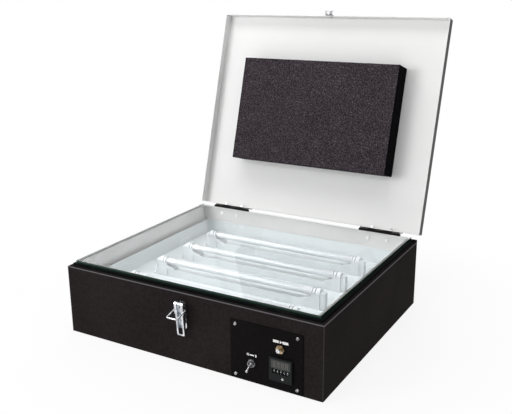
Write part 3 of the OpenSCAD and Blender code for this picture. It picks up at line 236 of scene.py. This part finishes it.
class Finish:
    def __init__(self, name, tree=None, output="ShaderNodeOutputMaterial"):
        self.material = None
        if tree is None:
            self.material = bpy.data.materials.new(name)
            self.material.use_nodes = True
            tree = self.material.node_tree
        tree.nodes.clear()
        self.tree = tree
        self.output = tree.nodes.new(output)
        self.spots = None

    def node(self, kind, settings=None, sockets=None, out=0):
        """A node of this type with its settings, then its sockets, as a Value of one output."""
        made = self.tree.nodes.new(kind)
        for name, setting in (settings or {}).items():
            setattr(made, name, setting)
        for name, value in (sockets or {}).items():
            if isinstance(value, Value):
                self.tree.links.new(value.socket, made.inputs[name])
            elif made.inputs[name].type == "RGBA" and len(value) == 3:
                made.inputs[name].default_value = (*value, 1)
            else:
                made.inputs[name].default_value = value
        return Value(self, made.outputs[out])

    def place(self, stretch=None):
        """Object coordinates; a grain is drawn out along the axes with a small stretch."""
        if self.spots is None:
            self.spots = self.node("ShaderNodeTexCoord", out="Object")
        if stretch is None:
            return self.spots
        return self.node("ShaderNodeMapping", {"vector_type": "POINT"},
                         {"Vector": self.spots, "Scale": stretch})

    def axis(self, name):
        """One of the Object coordinates x, y and z, in metres."""
        return self.node("ShaderNodeSeparateXYZ", sockets={0: self.place()}, out="XYZ".index(name))

    def noise(self, scale, detail=2.0, roughness=0.5, where=None):
        return self.node("ShaderNodeTexNoise", {"noise_dimensions": "3D"},
                         {"Vector": where or self.place(), "Scale": scale, "Detail": detail,
                          "Roughness": roughness})

    def cells(self, scale):
        return self.node("ShaderNodeTexVoronoi", {"feature": "F1"},
                         {"Vector": self.place(), "Scale": scale}, out="Distance")

    def bump(self, height, depth):
        """A normal for a relief this many metres deep."""
        return self.node("ShaderNodeBump", sockets={"Height": height, "Distance": depth,
                                                    "Strength": 1.0})

    def plain(self, base, roughness=0.5, metallic=0.0, **extras):
        """A Principled shader; extras are named after its sockets, with _ for a space."""
        sockets = {"Base Color": base, "Roughness": roughness, "Metallic": metallic}
        for name, value in extras.items():
            sockets[name.replace("_", " ")] = value
        return self.node("ShaderNodeBsdfPrincipled", sockets=sockets)

    def finish(self, shader):
        """Joins a shader to the output; returns the material, or None for the world."""
        self.tree.links.new(shader.socket, self.output.inputs["Surface"])
        return self.material


# Finishes

# Height of the ledge round the glass, and the grey of the painted highlight on a fold
LEDGE = 152.4 * MM
FOLD_HIGHLIGHT_GREY = (0.15, 0.145, 0.155)

# The black of cabinet and lid, how much paler its mottling gets, and its slight gloss
BLACK_PAINT = (0.0140, 0.0113, 0.0116)
BLACK_PALE = 1.6
BLACK_SHINE = 0.001

# Sprayed paint: how fine its orange peel and its specks are, and the band that parts the specks
PEEL_SCALE = 620
SPECK_SCALE = 230
SPECK_BAND = (0.36, 0.64)

# How far the painted highlight reaches from a fold, and from the lip round the ledge
FOLD_HIGHLIGHT_REACH = 2.4 * MM
LIP_HIGHLIGHT_REACH = 1.2 * MM


def near(value, level, reach):
    """1 where the value is at the level, falling to 0 at this distance from it."""
    return 1 - abs(value - level).ramp(0, reach)


def bend_lines(coat):
    """The cabinet's bends and the lip round the ledge, where a paler grey is painted on as a
    highlight.
    """
    x, y, z = (coat.axis(name) for name in "XYZ")
    ledge = near(z, LEDGE, FOLD_HIGHLIGHT_REACH)
    sides = near(abs(x), cabinet_high.x, FOLD_HIGHLIGHT_REACH)
    ends = near(y, cabinet_low.y, FOLD_HIGHLIGHT_REACH)
    lip = near(z, cabinet_high.z, LIP_HIGHLIGHT_REACH)
    return (ledge * (sides + ends) + sides * ends * 0.4 + lip * 0.4).clamp()


def powder_coat(name, base, pale=2.0, roughness=0.38, relief=18e-6, shine=0.05,
                highlight_folds=False):
    """Sprayed and baked paint: orange-peel relief, slight mottling and a rubbed gloss, and if
    asked a painted highlight along the bends.
    """
    coat = Finish(name)
    peel = coat.noise(PEEL_SCALE, detail=2.5)
    mottle = coat.noise(7, detail=3)
    speck = coat.noise(SPECK_SCALE, detail=2).ramp(*SPECK_BAND)
    rubbed = coat.noise(24, detail=4, roughness=0.65).ramp(0.52, 0.74)
    shade = mottle.ramp(0.3, 0.7) * 0.45 + speck * 0.55
    colour = shade.pick(base, tuple(min(1, c * pale) for c in base))
    # Painted highlight: a paler grey along the bends, where they would catch the light
    if highlight_folds:
        colour = bend_lines(coat).pick(colour, FOLD_HIGHLIGHT_GREY)
    gloss = roughness + mottle * 0.08 - rubbed * 0.07
    return coat.finish(coat.plain(colour, gloss, Normal=coat.bump(peel, relief),
                                  Specular_IOR_Level=shine))


def lid_paint():
    """Black outside and white inside, parted at the rim of the pan.

    The narrow sides keep more gloss than the broad face, as they show greyer in the photograph.
    """
    coat = Finish("lid_paint")
    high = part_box("lid_shell")[1]
    point = coat.node("ShaderNodeVectorMath", {"operation": "SUBTRACT"},
                      {0: coat.place(), 1: tuple(HINGE)})
    depth = coat.node("ShaderNodeVectorMath", {"operation": "DOT_PRODUCT"},
                      {0: point, 1: tuple(LID_OUTWARD)}, out="Value")
    length = coat.node("ShaderNodeVectorMath", {"operation": "DOT_PRODUCT"},
                       {0: point, 1: tuple(LID_ALONG)}, out="Value")
    side = abs(coat.axis("X")) > high.x - SHEET / 2
    top = length > LID_LENGTH + LID_BACK - SHEET / 2
    foot = length < LID_BACK + SHEET / 2
    face = depth > LID_DEPTH - SHEET / 2
    above_rim = depth > LID_RIM
    outside = ((side + top + foot) * above_rim + face).clamp()
    peel = coat.noise(PEEL_SCALE, detail=2.5)
    mottle = coat.noise(6, detail=3)
    white = mottle.pick((0.75, 0.75, 0.745), (0.79, 0.79, 0.785))
    speck = coat.noise(SPECK_SCALE, detail=2).ramp(*SPECK_BAND)
    black = speck.pick(BLACK_PAINT, tuple(c * BLACK_PALE for c in BLACK_PAINT))
    relief = coat.bump(peel, 16e-6)
    gloss = outside * -0.06 + 0.44 + mottle * 0.08
    pan = coat.plain(outside.pick(white, black), gloss, Normal=relief, Specular_IOR_Level=0.15)
    top_face = coat.plain(black, mottle * 0.08 + 0.38, Normal=relief,
                          Specular_IOR_Level=BLACK_SHINE)
    return coat.finish(coat.node("ShaderNodeMixShader", sockets={0: face, 1: pan, 2: top_face}))


def plated(name, base, roughness=0.22, shade=0.84, hollow=None):
    """Zinc or brass plating: clouded brightness, fine handling scratches, soft pitting.

    In a hollow, given by its half width and its lower end, painted shade turns the plating a
    darker, clouded blue-grey.
    """
    metal = Finish(name)
    cloud = metal.noise(230, detail=2, where=metal.place((1, 1, 0.4)))
    scratch = metal.noise(900, detail=3, where=metal.place((0.12, 1, 1)))
    dull = metal.noise(420, detail=2).ramp(0.45, 0.75)
    colour = cloud.ramp(0.38, 0.58).pick(tuple(c * shade for c in base), base)
    if hollow:
        reach, foot = hollow
        # Painted shade: the lever's hollow is coloured a darker blue-grey
        hollow_shade = abs(metal.axis("X")).ramp(reach * 1.08, reach * 0.92)
        hollow_shade = hollow_shade * metal.axis("Z").ramp(foot, foot + 1 * MM)
        hollow_shade_colour = cloud.ramp(0.40, 0.60).pick((0.10, 0.125, 0.15), (0.42, 0.46, 0.50))
        colour = hollow_shade.pick(colour, hollow_shade_colour)
    gloss = roughness + dull * 0.14 + scratch * 0.06
    return metal.finish(metal.plain(colour, gloss, 1.0,
                                    Normal=metal.bump(scratch * 0.5 + cloud, 6e-6)))


def rolled_sheet(name, base, metallic):
    """Bare rolled sheet: long fine grain along the wall and a faint bloom."""
    metal = Finish(name)
    lines = metal.noise(1500, detail=2, where=metal.place((1, 1, 0.03)))
    bloom = metal.noise(9, detail=3)
    colour = bloom.ramp(0.3, 0.7).pick(tuple(c * 0.92 for c in base), base)
    gloss = 0.34 + lines * 0.10 + bloom * 0.05
    return metal.finish(metal.plain(colour, gloss, metallic,
                                    Normal=metal.bump(lines, 3e-6)))


def enamel(name, base, roughness=0.24, relief=10e-6):
    """Stoved gloss enamel or a white moulding: a slow ripple and a little dust."""
    paint = Finish(name)
    ripple = paint.noise(140, detail=2)
    dust = paint.cells(230).ramp(0.09, 0.04) * 0.03
    tone = paint.noise(5, detail=2)
    colour = tone.pick(tuple(c * 0.965 for c in base), base)
    gloss = roughness + tone * 0.06 + dust
    return paint.finish(paint.plain(colour, gloss, Normal=paint.bump(ripple, relief),
                                    Coat_Weight=0.35, Coat_Roughness=0.12))


def moulding(name, base):
    """Fine-grained moulded plastic."""
    plastic = Finish(name)
    pebbles = plastic.cells(1100)
    tone = plastic.noise(60, detail=2)
    colour = tone.ramp(0.3, 0.7).pick(tuple(c * 0.82 for c in base), base)
    return plastic.finish(plastic.plain(colour, 0.42 + tone * 0.10,
                                        Normal=plastic.bump(pebbles, 12e-6),
                                        Specular_IOR_Level=0.12))


def rubber_edging():
    rubber = Finish("edging_rubber")
    skin = rubber.noise(800, detail=3)
    chalk = rubber.noise(30, detail=4).ramp(0.5, 0.8)
    colour = chalk.pick((0.004, 0.005, 0.005), (0.010, 0.011, 0.011))
    return rubber.finish(rubber.plain(colour, chalk * 0.15 + 0.52, Specular_IOR_Level=0.02,
                                      Normal=rubber.bump(skin, 14e-6)))


def float_glass():
    """Clear sheet glass; its ground edges show the dark green of the whole width, the left one a
    pale grey-green.

    The strip over the back wall lets the view straight through, as the polished back edge does.
    """
    glass = Finish("plate_glass")
    x, y = glass.axis("X"), glass.axis("Y")
    rim = 0.25 * MM
    edge = (x < glass_low.x + rim) + (x > glass_high.x - rim)
    edge = (edge + (y < glass_low.y + rim)).clamp()
    left = x < glass_low.x + rim
    clear = glass.node("ShaderNodeBsdfGlass", sockets={
        "Color": (0.985, 0.99, 0.995, 1), "Roughness": 0.0, "IOR": 1.15})
    through = glass.node("ShaderNodeBsdfTransparent",
                         sockets={"Color": (0.95, 0.957, 0.965, 1)})
    shadow = glass.node("ShaderNodeLightPath", out="Is Shadow Ray")
    free = ((y > glass_high.y - 1.4 * (glass_high.z - glass_low.z)) + shadow).clamp()
    pane = glass.node("ShaderNodeMixShader", sockets={0: free, 1: clear, 2: through})
    ripple = glass.noise(260, detail=2)
    green = ripple.pick((0.006, 0.020, 0.014), (0.014, 0.044, 0.031))
    ground = glass.plain(left.pick(green, (0.62, 0.68, 0.66)), 0.16,
                         Normal=glass.bump(ripple, 30e-6))
    return glass.finish(glass.node("ShaderNodeMixShader", sockets={0: edge, 1: pane, 2: ground}))


def frosted_tube():
    """White diffuser tube: smooth, with a soft sheen and faint drawing lines along it, and a faint
    painted glow that lifts its shaded underside though the tube is unlit.
    """
    tube = Finish("tube_glass")
    lines = tube.noise(700, detail=2, where=tube.place((0.02, 1, 1)))
    colour = lines.pick((0.36, 0.382, 0.390), (0.41, 0.432, 0.440))
    # Painted light: a faint emission lifts the unlit tube's shaded underside
    return tube.finish(tube.plain(colour, lines * 0.06 + 0.12, Coat_Weight=1.0,
                                  Coat_Roughness=0.05, Coat_IOR=1.7,
                                  Emission_Color=(0.93, 0.98, 1.0), Emission_Strength=0.16,
                                  Normal=tube.bump(lines, 4e-6)))


def pad_foam():
    """Open-cell charcoal foam: ragged pores with pale cell walls catching the light, and painted
    shade that makes the cut sides near black.
    """
    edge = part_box("lid_foam")[1].x
    foam = Finish("pad_foam")
    pores = foam.cells(420)
    small = foam.cells(1100)
    patch = foam.noise(22, detail=3)
    grain = foam.noise(430, detail=2, roughness=0.75)
    lit = (grain.ramp(0.50, 0.64) * 0.8 + pores * 0.25).clamp()
    colour = lit.pick((0.012, 0.010, 0.0115), (0.128, 0.105, 0.122))
    # Painted shade: the cut sides across x are darkened to near black
    side = abs(foam.axis("X")).ramp(edge - 4 * MM, edge - 2.5 * MM)
    tone = patch.ramp(0.3, 0.7).pick((0.86, 0.86, 0.86), (1.0, 1.0, 1.0))
    tone = side.pick(tone, (0.05, 0.05, 0.06))
    colour = foam.node("ShaderNodeMix", {"data_type": "RGBA", "blend_type": "MULTIPLY"},
                       {"Factor": 1.0, 6: colour, 7: tone}, out=2)
    return foam.finish(foam.plain(colour, 0.95, Specular_IOR_Level=0.03,
                                  Normal=foam.bump(pores + small * 0.5, 0.8 * MM)))


def smoked_window():
    """Dark window of the timer, with a faint haze."""
    pane = Finish("smoked_window")
    haze = pane.noise(120, detail=3)
    colour = haze.pick((0.010, 0.011, 0.011), (0.017, 0.018, 0.018))
    return pane.finish(pane.plain(colour, haze * 0.1 + 0.12, Coat_Weight=0.2,
                                  Coat_Roughness=0.05))


def print_ink(name, base):
    """Screen-printed ink, a little rough and uneven."""
    ink = Finish(name)
    speckle = ink.noise(1400, detail=2)
    return ink.finish(ink.plain(speckle.pick(tuple(c * 0.88 for c in base), base),
                                speckle * 0.1 + 0.5, Normal=ink.bump(speckle, 6e-6)))


# New pieces

# From the lid's own directions (across, along the lid, out of its inner face) to the frame's
LID_FRAME = Matrix.Translation(HINGE) @ Matrix((
    (1, 0, 0, 0),
    (0, LID_ALONG.y, -LID_OUTWARD.y, 0),
    (0, LID_ALONG.z, -LID_OUTWARD.z, 0),
    (0, 0, 0, 1)))

# The foam pad in the lid's own directions, from the hinge along the lid and out of its plate;
# then the grid of its skin, what is taken off its width and length, and its round edge
FOAM_FOOT, FOAM_TOP = 134.5 * MM, 398.5 * MM
FOAM_BACK, FOAM_FRONT = -22.45 * MM, 27.1 * MM
FOAM_GRID = 5 * MM
FOAM_TRIM = 1.2 * MM
FOAM_ROUND = 2.2 * MM

# The pad's crumbled skin: its fine and its slow waves per metre, their share and their depth
CRUMB_FINE, CRUMB_SLOW = 260, 40
CRUMB_SHARE = 0.35
CRUMB_DEPTH = 0.8

# Thickness of printed ink, and how deep it sits in the plate
INK = 0.06 * MM
INK_SINK = 0.02 * MM

# Marks over the switch: half their spread, their height over its nut, and their sizes
SWITCH_SPREAD = 8.6 * MM
SWITCH_RISE = 8.6 * MM
RING_RADIUS, RING_STROKE = 2.7 * MM, 1.2 * MM
DASH_SIZE = (9.6 * MM, 2.4 * MM)
STROKE_SIZE = (2.2 * MM, 5.4 * MM)

# Marks over the button: their height over its nut, the triangle, and the two pairs of rules
BUTTON_RISE = 5.6 * MM
TRIANGLE_RADIUS = 3.4 * MM
RULE_SPREAD, RULE_STEP = 9.9 * MM, 1.35 * MM
RULE_SIZE = (12.0 * MM, 2.3 * MM)

# The turning part of a lamp socket, and its joints from the tube's pins outwards
SOCKET_RADIUS = 9.3 * MM
JOINT_HALF_W = 0.7 * MM
JOINT_OUT = 0.15 * MM
JOINT_PLACES = (-4 * MM, 3 * MM)
JOINT_STEPS = 14

# Figures in the timer's window
DIGIT_COUNT, DIGIT_PITCH = 4, 8.6 * MM
DIGIT_TALL, DIGIT_WIDE, DIGIT_STROKE = 9.5 * MM, 5.0 * MM, 0.9 * MM

# Figures on the setting wheels: the drum they stand on, their height, their place across it,
# the height of a figure in a type size of 1, the rows that bend, and what each wheel shows
DRUM_RADIUS = 7.3 * MM
FIGURE_TALL = 3.7 * MM
FIGURE_ACROSS = 3.3 * MM
FIGURE_SHARE = 0.7
FIGURE_ROWS = 7
WHEEL_SHOWS = (0, 0, 4, 5, 0)


def add_piece(name, shape, body, finish):
    """Makes a finished piece of a bmesh and lets it ride on a body."""
    mesh = bpy.data.meshes.new(name)
    shape.to_mesh(mesh)
    shape.free()
    piece = bpy.data.objects.new(name, mesh)
    bpy.context.scene.collection.objects.link(piece)
    mesh.materials.append(finish)
    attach(piece, body)
    return piece


def add_block(shape, centre, size):
    """Adds a box to a bmesh."""
    place = Matrix.Translation(centre) @ Matrix.Diagonal((*size, 1))
    bmesh.ops.create_cube(shape, size=1, matrix=place)


def foam_pad(finish):
    """The foam pad on the lid: knife-cut sides, edges that crumble a little, an uneven face."""
    low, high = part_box("lid_foam")
    width = high.x - low.x - FOAM_TRIM
    foot, top, back, front = FOAM_FOOT, FOAM_TOP, FOAM_BACK, FOAM_FRONT
    shape = bmesh.new()
    add_block(shape, (0, (foot + top) / 2, (back + front) / 2),
              (width, top - foot - FOAM_TRIM, front - back))
    rim = [e for e in shape.edges if max(v.co.z for v in e.verts) > front - MM]
    bmesh.ops.bevel(shape, geom=rim, offset=FOAM_ROUND, offset_type="OFFSET", segments=3,
                    profile=0.5, affect="EDGES", material=-1)
    for axis, length in ((0, width), (1, top - foot), (2, front - back)):
        cuts = int(length / FOAM_GRID)
        start = (-width / 2, foot, back)[axis]
        for cut in range(1, cuts):
            point, normal = Vector((0, 0, 0)), Vector((0, 0, 0))
            point[axis] = start + cut * length / cuts
            normal[axis] = 1
            bmesh.ops.bisect_plane(shape, geom=shape.verts[:] + shape.edges[:] + shape.faces[:],
                                   plane_co=point, plane_no=normal)
    shape.normal_update()
    for v in shape.verts:
        if v.co.z > back + MM:
            fine = noise.noise(v.co * CRUMB_FINE) * CRUMB_SHARE
            slow = noise.noise(v.co * CRUMB_SLOW) * CRUMB_SHARE
            v.co += v.normal * (fine + slow - CRUMB_SHARE) * MM * CRUMB_DEPTH
    shape.transform(LID_FRAME)
    bmesh.ops.recalc_face_normals(shape, faces=shape.faces)
    pad = add_piece("foam_pad", shape, "lid", finish)
    for face in pad.data.polygons:
        face.use_smooth = True
    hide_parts("lid_foam")
    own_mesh(pad)
    return pad


def on_plate(shape, across, up):
    """Stands marks drawn in x and y on the front of the control plate."""
    place = Matrix.Translation((across, panel_low.y + INK_SINK, up)) @ Matrix.Rotation(
        math.radians(90), 4, "X")
    shape.transform(place)


def add_bar(shape, x, y, width, height):
    """A flat bar of ink, centred at x and y."""
    add_block(shape, (x, y, INK / 2), (width, height, INK))


def add_ring(shape, x, y, radius, stroke):
    """A flat ring with a little thickness."""
    made = bmesh.ops.create_circle(shape, cap_ends=True, segments=32, radius=radius,
                                   matrix=Matrix.Translation((x, y, 0)))
    face = made["verts"][0].link_faces[0]
    bmesh.ops.inset_individual(shape, faces=[face], thickness=stroke, use_even_offset=True)
    bmesh.ops.delete(shape, geom=[face], context="FACES_ONLY")
    ring = [f for v in made["verts"] for f in v.link_faces]
    raised = bmesh.ops.extrude_face_region(shape, geom=list(set(ring)))
    bmesh.ops.translate(shape, vec=(0, 0, INK),
                        verts=[g for g in raised["geom"] if isinstance(g, bmesh.types.BMVert)])


def add_triangle(shape, x, y, radius):
    """A solid triangle that points right."""
    place = Matrix.Translation((x, y, INK / 2)) @ Matrix.Rotation(math.radians(-90), 4, "Z")
    bmesh.ops.create_cone(shape, cap_ends=True, segments=3, radius1=radius, radius2=radius,
                          depth=INK, matrix=place)


def switch_marks(finish):
    """Off ring, on stroke and the line between them, above the toggle switch."""
    low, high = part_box("switch_nut")
    shape = bmesh.new()
    add_ring(shape, -SWITCH_SPREAD, 0, RING_RADIUS, RING_STROKE)
    add_bar(shape, 0, 0, *DASH_SIZE)
    add_bar(shape, SWITCH_SPREAD, 0, *STROKE_SIZE)
    on_plate(shape, (low.x + high.x) / 2, high.z + SWITCH_RISE)
    bmesh.ops.recalc_face_normals(shape, faces=shape.faces)
    add_piece("switch_marks", shape, "cabinet", finish)


def button_marks(finish):
    """A start triangle between two pairs of rules, above the push button."""
    low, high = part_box("button_nut")
    shape = bmesh.new()
    add_triangle(shape, 0, 0, TRIANGLE_RADIUS)
    for side in (-1, 1):
        add_bar(shape, side * RULE_SPREAD, RULE_STEP, *RULE_SIZE)
        add_bar(shape, side * RULE_SPREAD, -RULE_STEP, *RULE_SIZE)
    on_plate(shape, (low.x + high.x) / 2, high.z + BUTTON_RISE)
    bmesh.ops.recalc_face_normals(shape, faces=shape.faces)
    add_piece("button_marks", shape, "cabinet", finish)


def holder_joints(number, finish):
    """The dark joints of the turning parts in one tube's two sockets, over their round tops."""
    low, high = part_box(f"lampholders_{number}")
    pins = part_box("lamp_caps_right")[1].x
    middle, centre = (low.y + high.y) / 2, high.z - SOCKET_RADIUS
    shape = bmesh.new()
    for side in (-1, 1):
        for along in JOINT_PLACES:
            x = side * (pins + along)
            corners = [shape.verts.new((x + dx, middle - SOCKET_RADIUS - dy, centre))
                       for dx, dy in ((-JOINT_HALF_W, 0), (JOINT_HALF_W, 0),
                                      (JOINT_HALF_W, JOINT_OUT), (-JOINT_HALF_W, JOINT_OUT))]
            face = shape.faces.new(corners)
            bmesh.ops.spin(shape, geom=[face] + list(face.edges) + corners,
                           cent=(x, middle, centre), axis=(1, 0, 0), angle=-math.pi,
                           steps=JOINT_STEPS)
    bmesh.ops.recalc_face_normals(shape, faces=shape.faces)
    add_piece(f"holder_joints_{number}", shape, "cabinet", finish)


def window_digits(finish):
    """Four seven-stroke figures, unlit, in the timer's window."""
    low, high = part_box("timer_window")
    tall, wide, stroke = DIGIT_TALL, DIGIT_WIDE, DIGIT_STROKE
    shape = bmesh.new()
    for k in range(DIGIT_COUNT):
        x = (k - (DIGIT_COUNT - 1) / 2) * DIGIT_PITCH
        for level in (-1, 0, 1):
            add_bar(shape, x, level * tall / 2, wide - 2 * stroke, stroke)
        for side in (-1, 1):
            for half in (-1, 1):
                add_bar(shape, x + side * (wide - stroke) / 2, half * tall / 4, stroke,
                        tall / 2 - 1.3 * stroke)
        add_bar(shape, x + wide / 2 + stroke, -tall / 2, stroke, stroke)
    shape.transform(Matrix.Translation(((low.x + high.x) / 2, low.y + INK_SINK,
                                        (low.z + high.z) / 2))
                    @ Matrix.Rotation(math.radians(90), 4, "X"))
    bmesh.ops.recalc_face_normals(shape, faces=shape.faces)
    add_piece("window_digits", shape, "cabinet", finish)


def figure_mesh(figure, tall):
    """A figure of Blender's own font as a flat bmesh, centred, with rows of vertices to bend."""
    text = bpy.data.curves.new("figure", "FONT")
    text.body = str(figure)
    text.size = tall / FIGURE_SHARE
    text.align_x = "CENTER"
    text.resolution_u = 3
    holder = bpy.data.objects.new("figure", text)
    bpy.context.scene.collection.objects.link(holder)
    shape = bmesh.new()
    shape.from_mesh(holder.to_mesh())
    holder.to_mesh_clear()
    bpy.data.objects.remove(holder)
    bpy.data.curves.remove(text)
    bmesh.ops.translate(shape, vec=(0, -tall / 2, 0), verts=shape.verts)
    for row in range(-(FIGURE_ROWS // 2), FIGURE_ROWS // 2 + 1):
        bmesh.ops.bisect_plane(shape, geom=shape.verts[:] + shape.edges[:] + shape.faces[:],
                               plane_co=(0, row * tall / FIGURE_ROWS, 0), plane_no=(0, 1, 0))
    return shape


def wheel_digits(number, first, finish):
    """Ten white figures round the smooth part of a setting wheel."""
    low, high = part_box(f"timer_wheel_{number}")
    axle_y, axle_z = (low.y + high.y) / 2, (low.z + high.z) / 2
    across = low.x + FIGURE_ACROSS
    shape = bmesh.new()
    for figure in range(10):
        flat = figure_mesh(figure, FIGURE_TALL)
        raised = bmesh.ops.extrude_face_region(flat, geom=flat.faces[:])
        bmesh.ops.translate(flat, vec=(0, 0, INK),
                            verts=[g for g in raised["geom"]
                                   if isinstance(g, bmesh.types.BMVert)])
        turn = math.radians(36) * (first - figure)
        for v in flat.verts:
            angle = turn + v.co.y / DRUM_RADIUS
            reach = DRUM_RADIUS - INK_SINK + v.co.z
            v.co = Vector((across + v.co.x, axle_y - reach * math.cos(angle),
                           axle_z + reach * math.sin(angle)))
        bmesh.ops.recalc_face_normals(flat, faces=flat.faces)
        part = bpy.data.meshes.new("figure_part")
        flat.to_mesh(part)
        flat.free()
        shape.from_mesh(part)
        bpy.data.meshes.remove(part)
    add_piece(f"wheel_digits_{number}", shape, f"timer_wheel_{number}", finish)


# Dressing the nodes

def dress(finish, *names):
    """Gives CAD nodes a finish in place of their plain one."""
    for name in names:
        mesh = NODES[name].data
        mesh.materials.clear()
        mesh.materials.append(finish)
        for face in mesh.polygons:
            face.material_index = 0


def numbered(name, count):
    return [f"{name}_{i}" for i in range(1, count + 1)]


bpy.context.scene.view_settings.view_transform = "Standard"
add_camera()
light_studio()

black_coat = powder_coat("cabinet_paint", BLACK_PAINT, pale=BLACK_PALE, shine=BLACK_SHINE,
                         highlight_folds=True)
panel_coat = powder_coat("panel_paint", (0.0030, 0.0025, 0.0026), roughness=0.46, relief=8e-6,
                         shine=0.03)
hinge_coat = powder_coat("hinge_black", (0.0050, 0.0048, 0.0050), roughness=0.34, relief=6e-6)
zinc = plated("zinc_plate", (0.80, 0.81, 0.84), shade=0.45)
lever_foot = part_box("latch_lever")[0].z + 4 * MM
lever_zinc = plated("lever_zinc", (0.82, 0.83, 0.86), shade=0.62,
                    hollow=(4.5 * MM, lever_foot))
worn_zinc = plated("worn_zinc", (0.50, 0.50, 0.52), roughness=0.3, shade=0.3)
brass = plated("brass_plate", (0.55, 0.42, 0.27), roughness=0.24, shade=0.45)
dark_zinc = plated("dark_screw", (0.30, 0.30, 0.32), roughness=0.32)
driver_case = plated("driver_case", (0.78, 0.79, 0.80), roughness=0.36)
cap_metal = plated("cap_aluminium", (0.66, 0.67, 0.68), roughness=0.38)
bright_heads = plated("bright_heads", (0.93, 0.93, 0.92), roughness=0.45, shade=0.94)
liner_sheet = rolled_sheet("liner_steel", (0.70, 0.690, 0.668), metallic=0.35)
white_enamel = enamel("white_enamel", (0.630, 0.662, 0.664))
white_plastic = enamel("white_plastic", (0.63, 0.650, 0.655), roughness=0.34, relief=6e-6)
black_plastic = moulding("black_plastic", (0.0085, 0.0095, 0.0100))

dress(black_coat, "cabinet_shell", "base_pan")
dress(lid_paint(), "lid_shell")
dress(panel_coat, "control_plate")
dress(hinge_coat, "hinge_cabinet_leaves", "hinge_lid_leaves", "hinge_pins")
dress(worn_zinc, "base_screws", "control_plate_screws", "switch_lever", "lid_strike",
      "strike_rivets")
dress(bright_heads, "hinge_screws_cabinet")
dress(lever_zinc, "latch_lever")
dress(zinc, "latch_base", "latch_pivot_pin", "latch_rivets", "latch_bail",
      "hinge_screws_lid", "inlet_screws", "timer_axle", "button_plunger")
dress(brass, "button_body", "button_nut")
dress(dark_zinc, "lampholder_screws", "switch_body", "switch_nut")
dress(driver_case, "lamp_driver")
dress(cap_metal, "lamp_caps_left")
dress(liner_sheet, "glass_liner", "tray_rails")
dress(rubber_edging(), "glass_gasket")
dress(float_glass(), "glass_plate")
dress(white_enamel, "reflector_tray", "lamp_bases")
dress(enamel("key_plastic", (0.42, 0.42, 0.42)), "timer_reset_key")
dress(white_plastic, "terminal_block", *numbered("lampholders", 4))
dress(enamel("cap_plastic", (0.52, 0.535, 0.545)), "lamp_caps_right")
dress(frosted_tube(), *numbered("lamp_tube", 4))
dress(black_plastic, "timer_case", "timer_bezel", "timer_clamp", "power_inlet",
      *numbered("timer_wheel", 5))
dress(smoked_window(), "timer_window")

foam_pad(pad_foam())
white_ink = print_ink("white_ink", (0.90, 0.90, 0.89))
switch_marks(white_ink)
button_marks(white_ink)
window_digits(print_ink("unlit_segments", (0.15, 0.14, 0.11)))
joint_shade = moulding("joint_shade", (0.055, 0.058, 0.060))
for number in range(1, 5):
    holder_joints(number, joint_shade)
for number, first in enumerate(WHEEL_SHOWS, 1):
    wheel_digits(number, first, white_ink)
